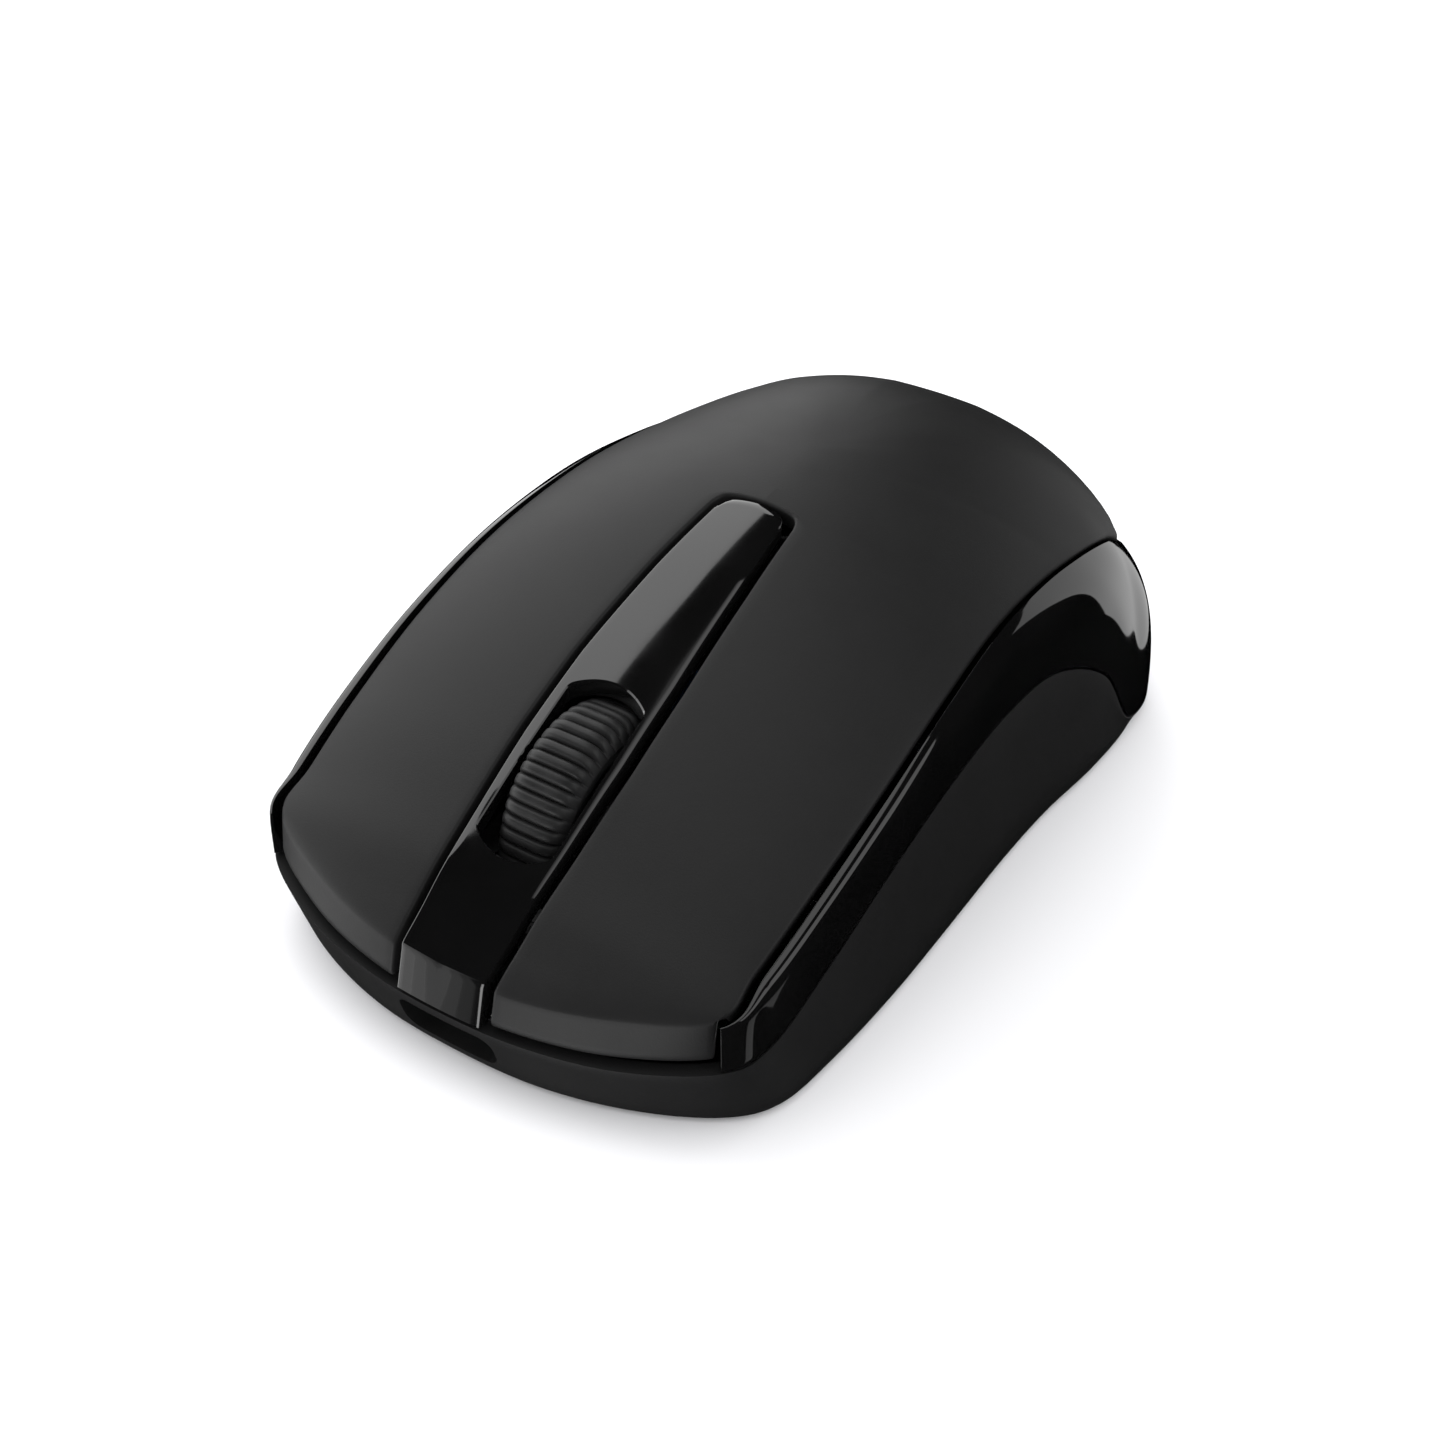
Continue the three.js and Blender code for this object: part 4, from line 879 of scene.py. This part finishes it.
def spring():
    """The cradle spring's coils, shaded smooth."""
    obj = copied("cradle_spring", "cradle_spring_coil")
    clean(obj.data, 60)
    return obj


def dissolve_flats(mesh):
    """Joins the faces of each flat, so that only true edges are left to round."""
    bm = bmesh.new()
    bm.from_mesh(mesh)
    bmesh.ops.dissolve_limit(bm, angle_limit=math.radians(1), verts=bm.verts, edges=bm.edges)
    bm.to_mesh(mesh)
    bm.free()


def foot(node, x, y, length, width, turn):
    """A glide pad with a softened lower edge."""
    rings = []
    for shrink, z in ((0, 0.95), (0, 0.3), (0.1, 0.1), (0.35, 0)):
        outline = round_bar(x, y, length - 2 * shrink, width - 2 * shrink, turn)
        rings.append([(a, b, z) for a, b in outline])
    return loft(node + "_skin", np.array(rings))


# ---- Assembly -----------------------------------------------------------------------------
def body_of(node):
    """Name of the moving body that a CAD node belongs to."""
    bodies = frame["record"]["behaviour"]["bodies"]
    return next(body for body, nodes in bodies.items() if node in nodes)


def from_nose(x, y, z):
    """A point of the row frame, in metres, from millimetres measured from the nose."""
    return (x * MM, (y - NOSE_TO_CENTRE) * MM, z * MM)


def show(obj, node, fixed=None):
    """Shows obj in place of a CAD node, in its material and riding on its body.

    Given a point fixed, it stays with the case instead of riding on that body.
    """
    body, slot = body_of(node), SLOTS[node]
    obj.data.materials.clear()
    obj.data.materials.append(MATERIALS[slot])
    if fixed:
        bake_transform(obj)
    else:
        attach(obj, body)
    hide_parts(node)


# CAD nodes whose edges are rounded, and the width of the rounding.
SOFT_EDGES = {
    "battery_door": 0.25, "power_switch_knob": 0.15, "receiver_cap": 0.35, "receiver_plug": 0.12,
    "charging_port": 0.1, "charging_tongue": 0.06, "case_screw_left": 0.08, "case_screw_right": 0.08,
    "wheel_hub": 0.12, "wheel_cradle": 0.15, "encoder_case": 0.2, "left_switch_case": 0.2,
    "right_switch_case": 0.2, "left_switch_plunger": 0.12, "right_switch_plunger": 0.12,
    "battery_cell": 0.35, "optical_sensor": 0.15, "radio_chip": 0.06, "power_switch_case": 0.15,
}


def build_object():
    """Every remade piece, in place of its CAD node."""
    show(palm(), "palm_cover")
    for side, word in ((1, "right"), (-1, "left")):
        root, tip = from_nose(0, 48, 30), from_nose(0, 24, 30)
        show(finger(word + "_finger", side), word + "_button", root)
    # The spring is given a point on the board, and so stays with the case.
    show(spring(), "cradle_spring", from_nose(0, 10.1, 7.9))
    show(belt(), "gloss_belt")
    show(base(), "base_shell")
    show(strip(), "centre_strip")
    show(tyre(), "wheel_tyre")
    for name, *shape in FEET:
        show(foot(name, *shape), name)
    for node, width in SOFT_EDGES.items():
        show(softened(node, width), node)


def paint_frame():
    """Gives every CAD node that still shows its slot's material."""
    for node, obj in frame["nodes"].items():
        obj.data.materials.clear()
        obj.data.materials.append(MATERIALS[SLOTS[node]])


# ---- Stage --------------------------------------------------------------------------------
def floor():
    """White paper under the mouse, which the glossy pieces don't mirror."""
    mesh = bpy.data.meshes.new("floor")
    half = 3.0
    corners = [(-half, -half, 0), (half, -half, 0), (half, half, 0), (-half, half, 0)]
    mesh.from_pydata(corners, [], [(0, 1, 2, 3)])
    obj = bpy.data.objects.new("floor", mesh)
    bpy.context.scene.collection.objects.link(obj)
    material, shader = new_material("floor_paper", Roughness=0.9, Specular_IOR_Level=0.1)
    tone = tint(material, noise(material, 60, 2), grey(0.86), grey(0.88))
    connect(material, tone, shader.inputs["Base Color"])
    obj.data.materials.append(material)
    obj.visible_glossy = False
    obj.visible_shadow = False


def direction(azimuth, elevation):
    """Unit vector; azimuth 0 points out from the nose and 90 to the right, in degrees."""
    a, e = math.radians(azimuth), math.radians(elevation)
    return Vector((math.sin(a) * math.cos(e), -math.cos(a) * math.cos(e), math.sin(e)))


def area_light(name, width, height, place, facing, radiance):
    """A rectangular lamp of a given radiance that the camera doesn't see."""
    light = bpy.data.lights.new(name, "AREA")
    light.shape = "RECTANGLE"
    light.size, light.size_y = width, height
    light.energy = math.pi * width * height * radiance
    obj = bpy.data.objects.new(name, light)
    bpy.context.scene.collection.objects.link(obj)
    obj.location = place
    obj.rotation_euler = facing.to_track_quat("-Z", "Y").to_euler()
    obj.visible_camera = False


def softbox(name, azimuth, elevation, distance, radiance):
    """A panel that faces the object and covers a range of directions as seen from it."""
    wide, tall = (2 * distance * math.tan(math.radians(b - a) / 2) for a, b in (azimuth, elevation))
    middle = direction(sum(azimuth) / 2, sum(elevation) / 2)
    area_light(name, wide, tall, AIM + middle * distance, -middle, radiance)


def upright_panel(name, facing, azimuth, elevation, distance, radiance):
    """A vertical panel whose plane is square to one azimuth; its edges reach the given directions."""
    left, right = (distance * math.tan(math.radians(a - facing)) for a in azimuth)
    low, high = (distance * math.tan(math.radians(e)) for e in elevation)
    ahead, sideways = direction(facing, 0), direction(facing + 90, 0)
    place = AIM + ahead * distance + sideways * (left + right) / 2 + Vector((0, 0, (low + high) / 2))
    area_light(name, right - left, high - low, place, -ahead, radiance)


def ceiling_panel(name, across, along_y, height, radiance):
    """A level panel overhead; its edges are given in parts of its height above the object."""
    (left, right), (near, far) = across, along_y
    place = AIM + Vector(((left + right) / 2, (near + far) / 2, 1)) * height
    wide, long = (right - left) * height, (far - near) * height
    area_light(name, wide, long, place, Vector((0, 0, -1)), radiance)


def surroundings():
    """Even white light for the matt surfaces, which the glossy ones don't mirror."""
    world = bpy.data.worlds.new("studio")
    bpy.context.scene.world = world
    world.use_nodes = True
    background = world.node_tree.nodes["Background"]
    background.inputs["Color"].default_value = (1, 1, 1, 1)
    background.inputs["Strength"].default_value = 1.18
    world.cycles_visibility.glossy = False
    bpy.context.scene.view_settings.view_transform = "Standard"


def panels():
    """Panels for the glossy surfaces to mirror where the photograph has its highlights."""
    upright_panel("left_panel", -93, (-150, -70), (4, 60.6), 0.7, 1.9)
    softbox("rear_panel", (151, 183), (-28, 32), 0.8, 0.72)
    softbox("nose_panel", (-76, FADE_START), NOSE_HEIGHTS, 0.6, 2.2)
    for k in range(FADE_STEPS):
        left = FADE_START + FADE_WIDTH * k
        softbox(f"nose_fade_{k}", (left, left + FADE_WIDTH), NOSE_HEIGHTS, 0.6, 2.1 - 0.17 * k)
    for panel in SOFTBOXES:
        softbox(*panel)
    for k, (left, right, radiance) in enumerate(TOP_PANELS):
        ceiling_panel(f"top_panel_{k}", (left, right), (-0.4, 0.3), 0.8, radiance)


def camera():
    """The photograph's camera: 34 degrees to the right of the nose and 37 above."""
    data = bpy.data.cameras.new("camera")
    data.lens, data.sensor_width = LENS_MM, 36
    data.clip_start = 0.01
    obj = bpy.data.objects.new("camera", data)
    bpy.context.scene.collection.objects.link(obj)
    obj.location = from_nose(*CAMERA_PLACE)
    obj.rotation_mode = "QUATERNION"
    obj.rotation_quaternion = (-direction(*CAMERA_SIDE)).to_track_quat("-Z", "Y")
    bpy.context.scene.camera = obj


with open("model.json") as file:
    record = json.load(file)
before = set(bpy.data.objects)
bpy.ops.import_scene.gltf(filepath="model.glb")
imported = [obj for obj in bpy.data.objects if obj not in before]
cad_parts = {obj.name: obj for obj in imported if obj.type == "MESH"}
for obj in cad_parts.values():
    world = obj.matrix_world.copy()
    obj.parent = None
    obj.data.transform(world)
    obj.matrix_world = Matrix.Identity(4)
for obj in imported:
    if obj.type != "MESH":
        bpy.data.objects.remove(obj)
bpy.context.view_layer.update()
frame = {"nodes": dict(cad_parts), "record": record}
SLOTS = {part["node"]: part["material_slot"] for part in frame["record"]["subparts"]}
MATERIALS = slot_materials()
paint_frame()
build_object()
floor()
surroundings()
panels()
camera()
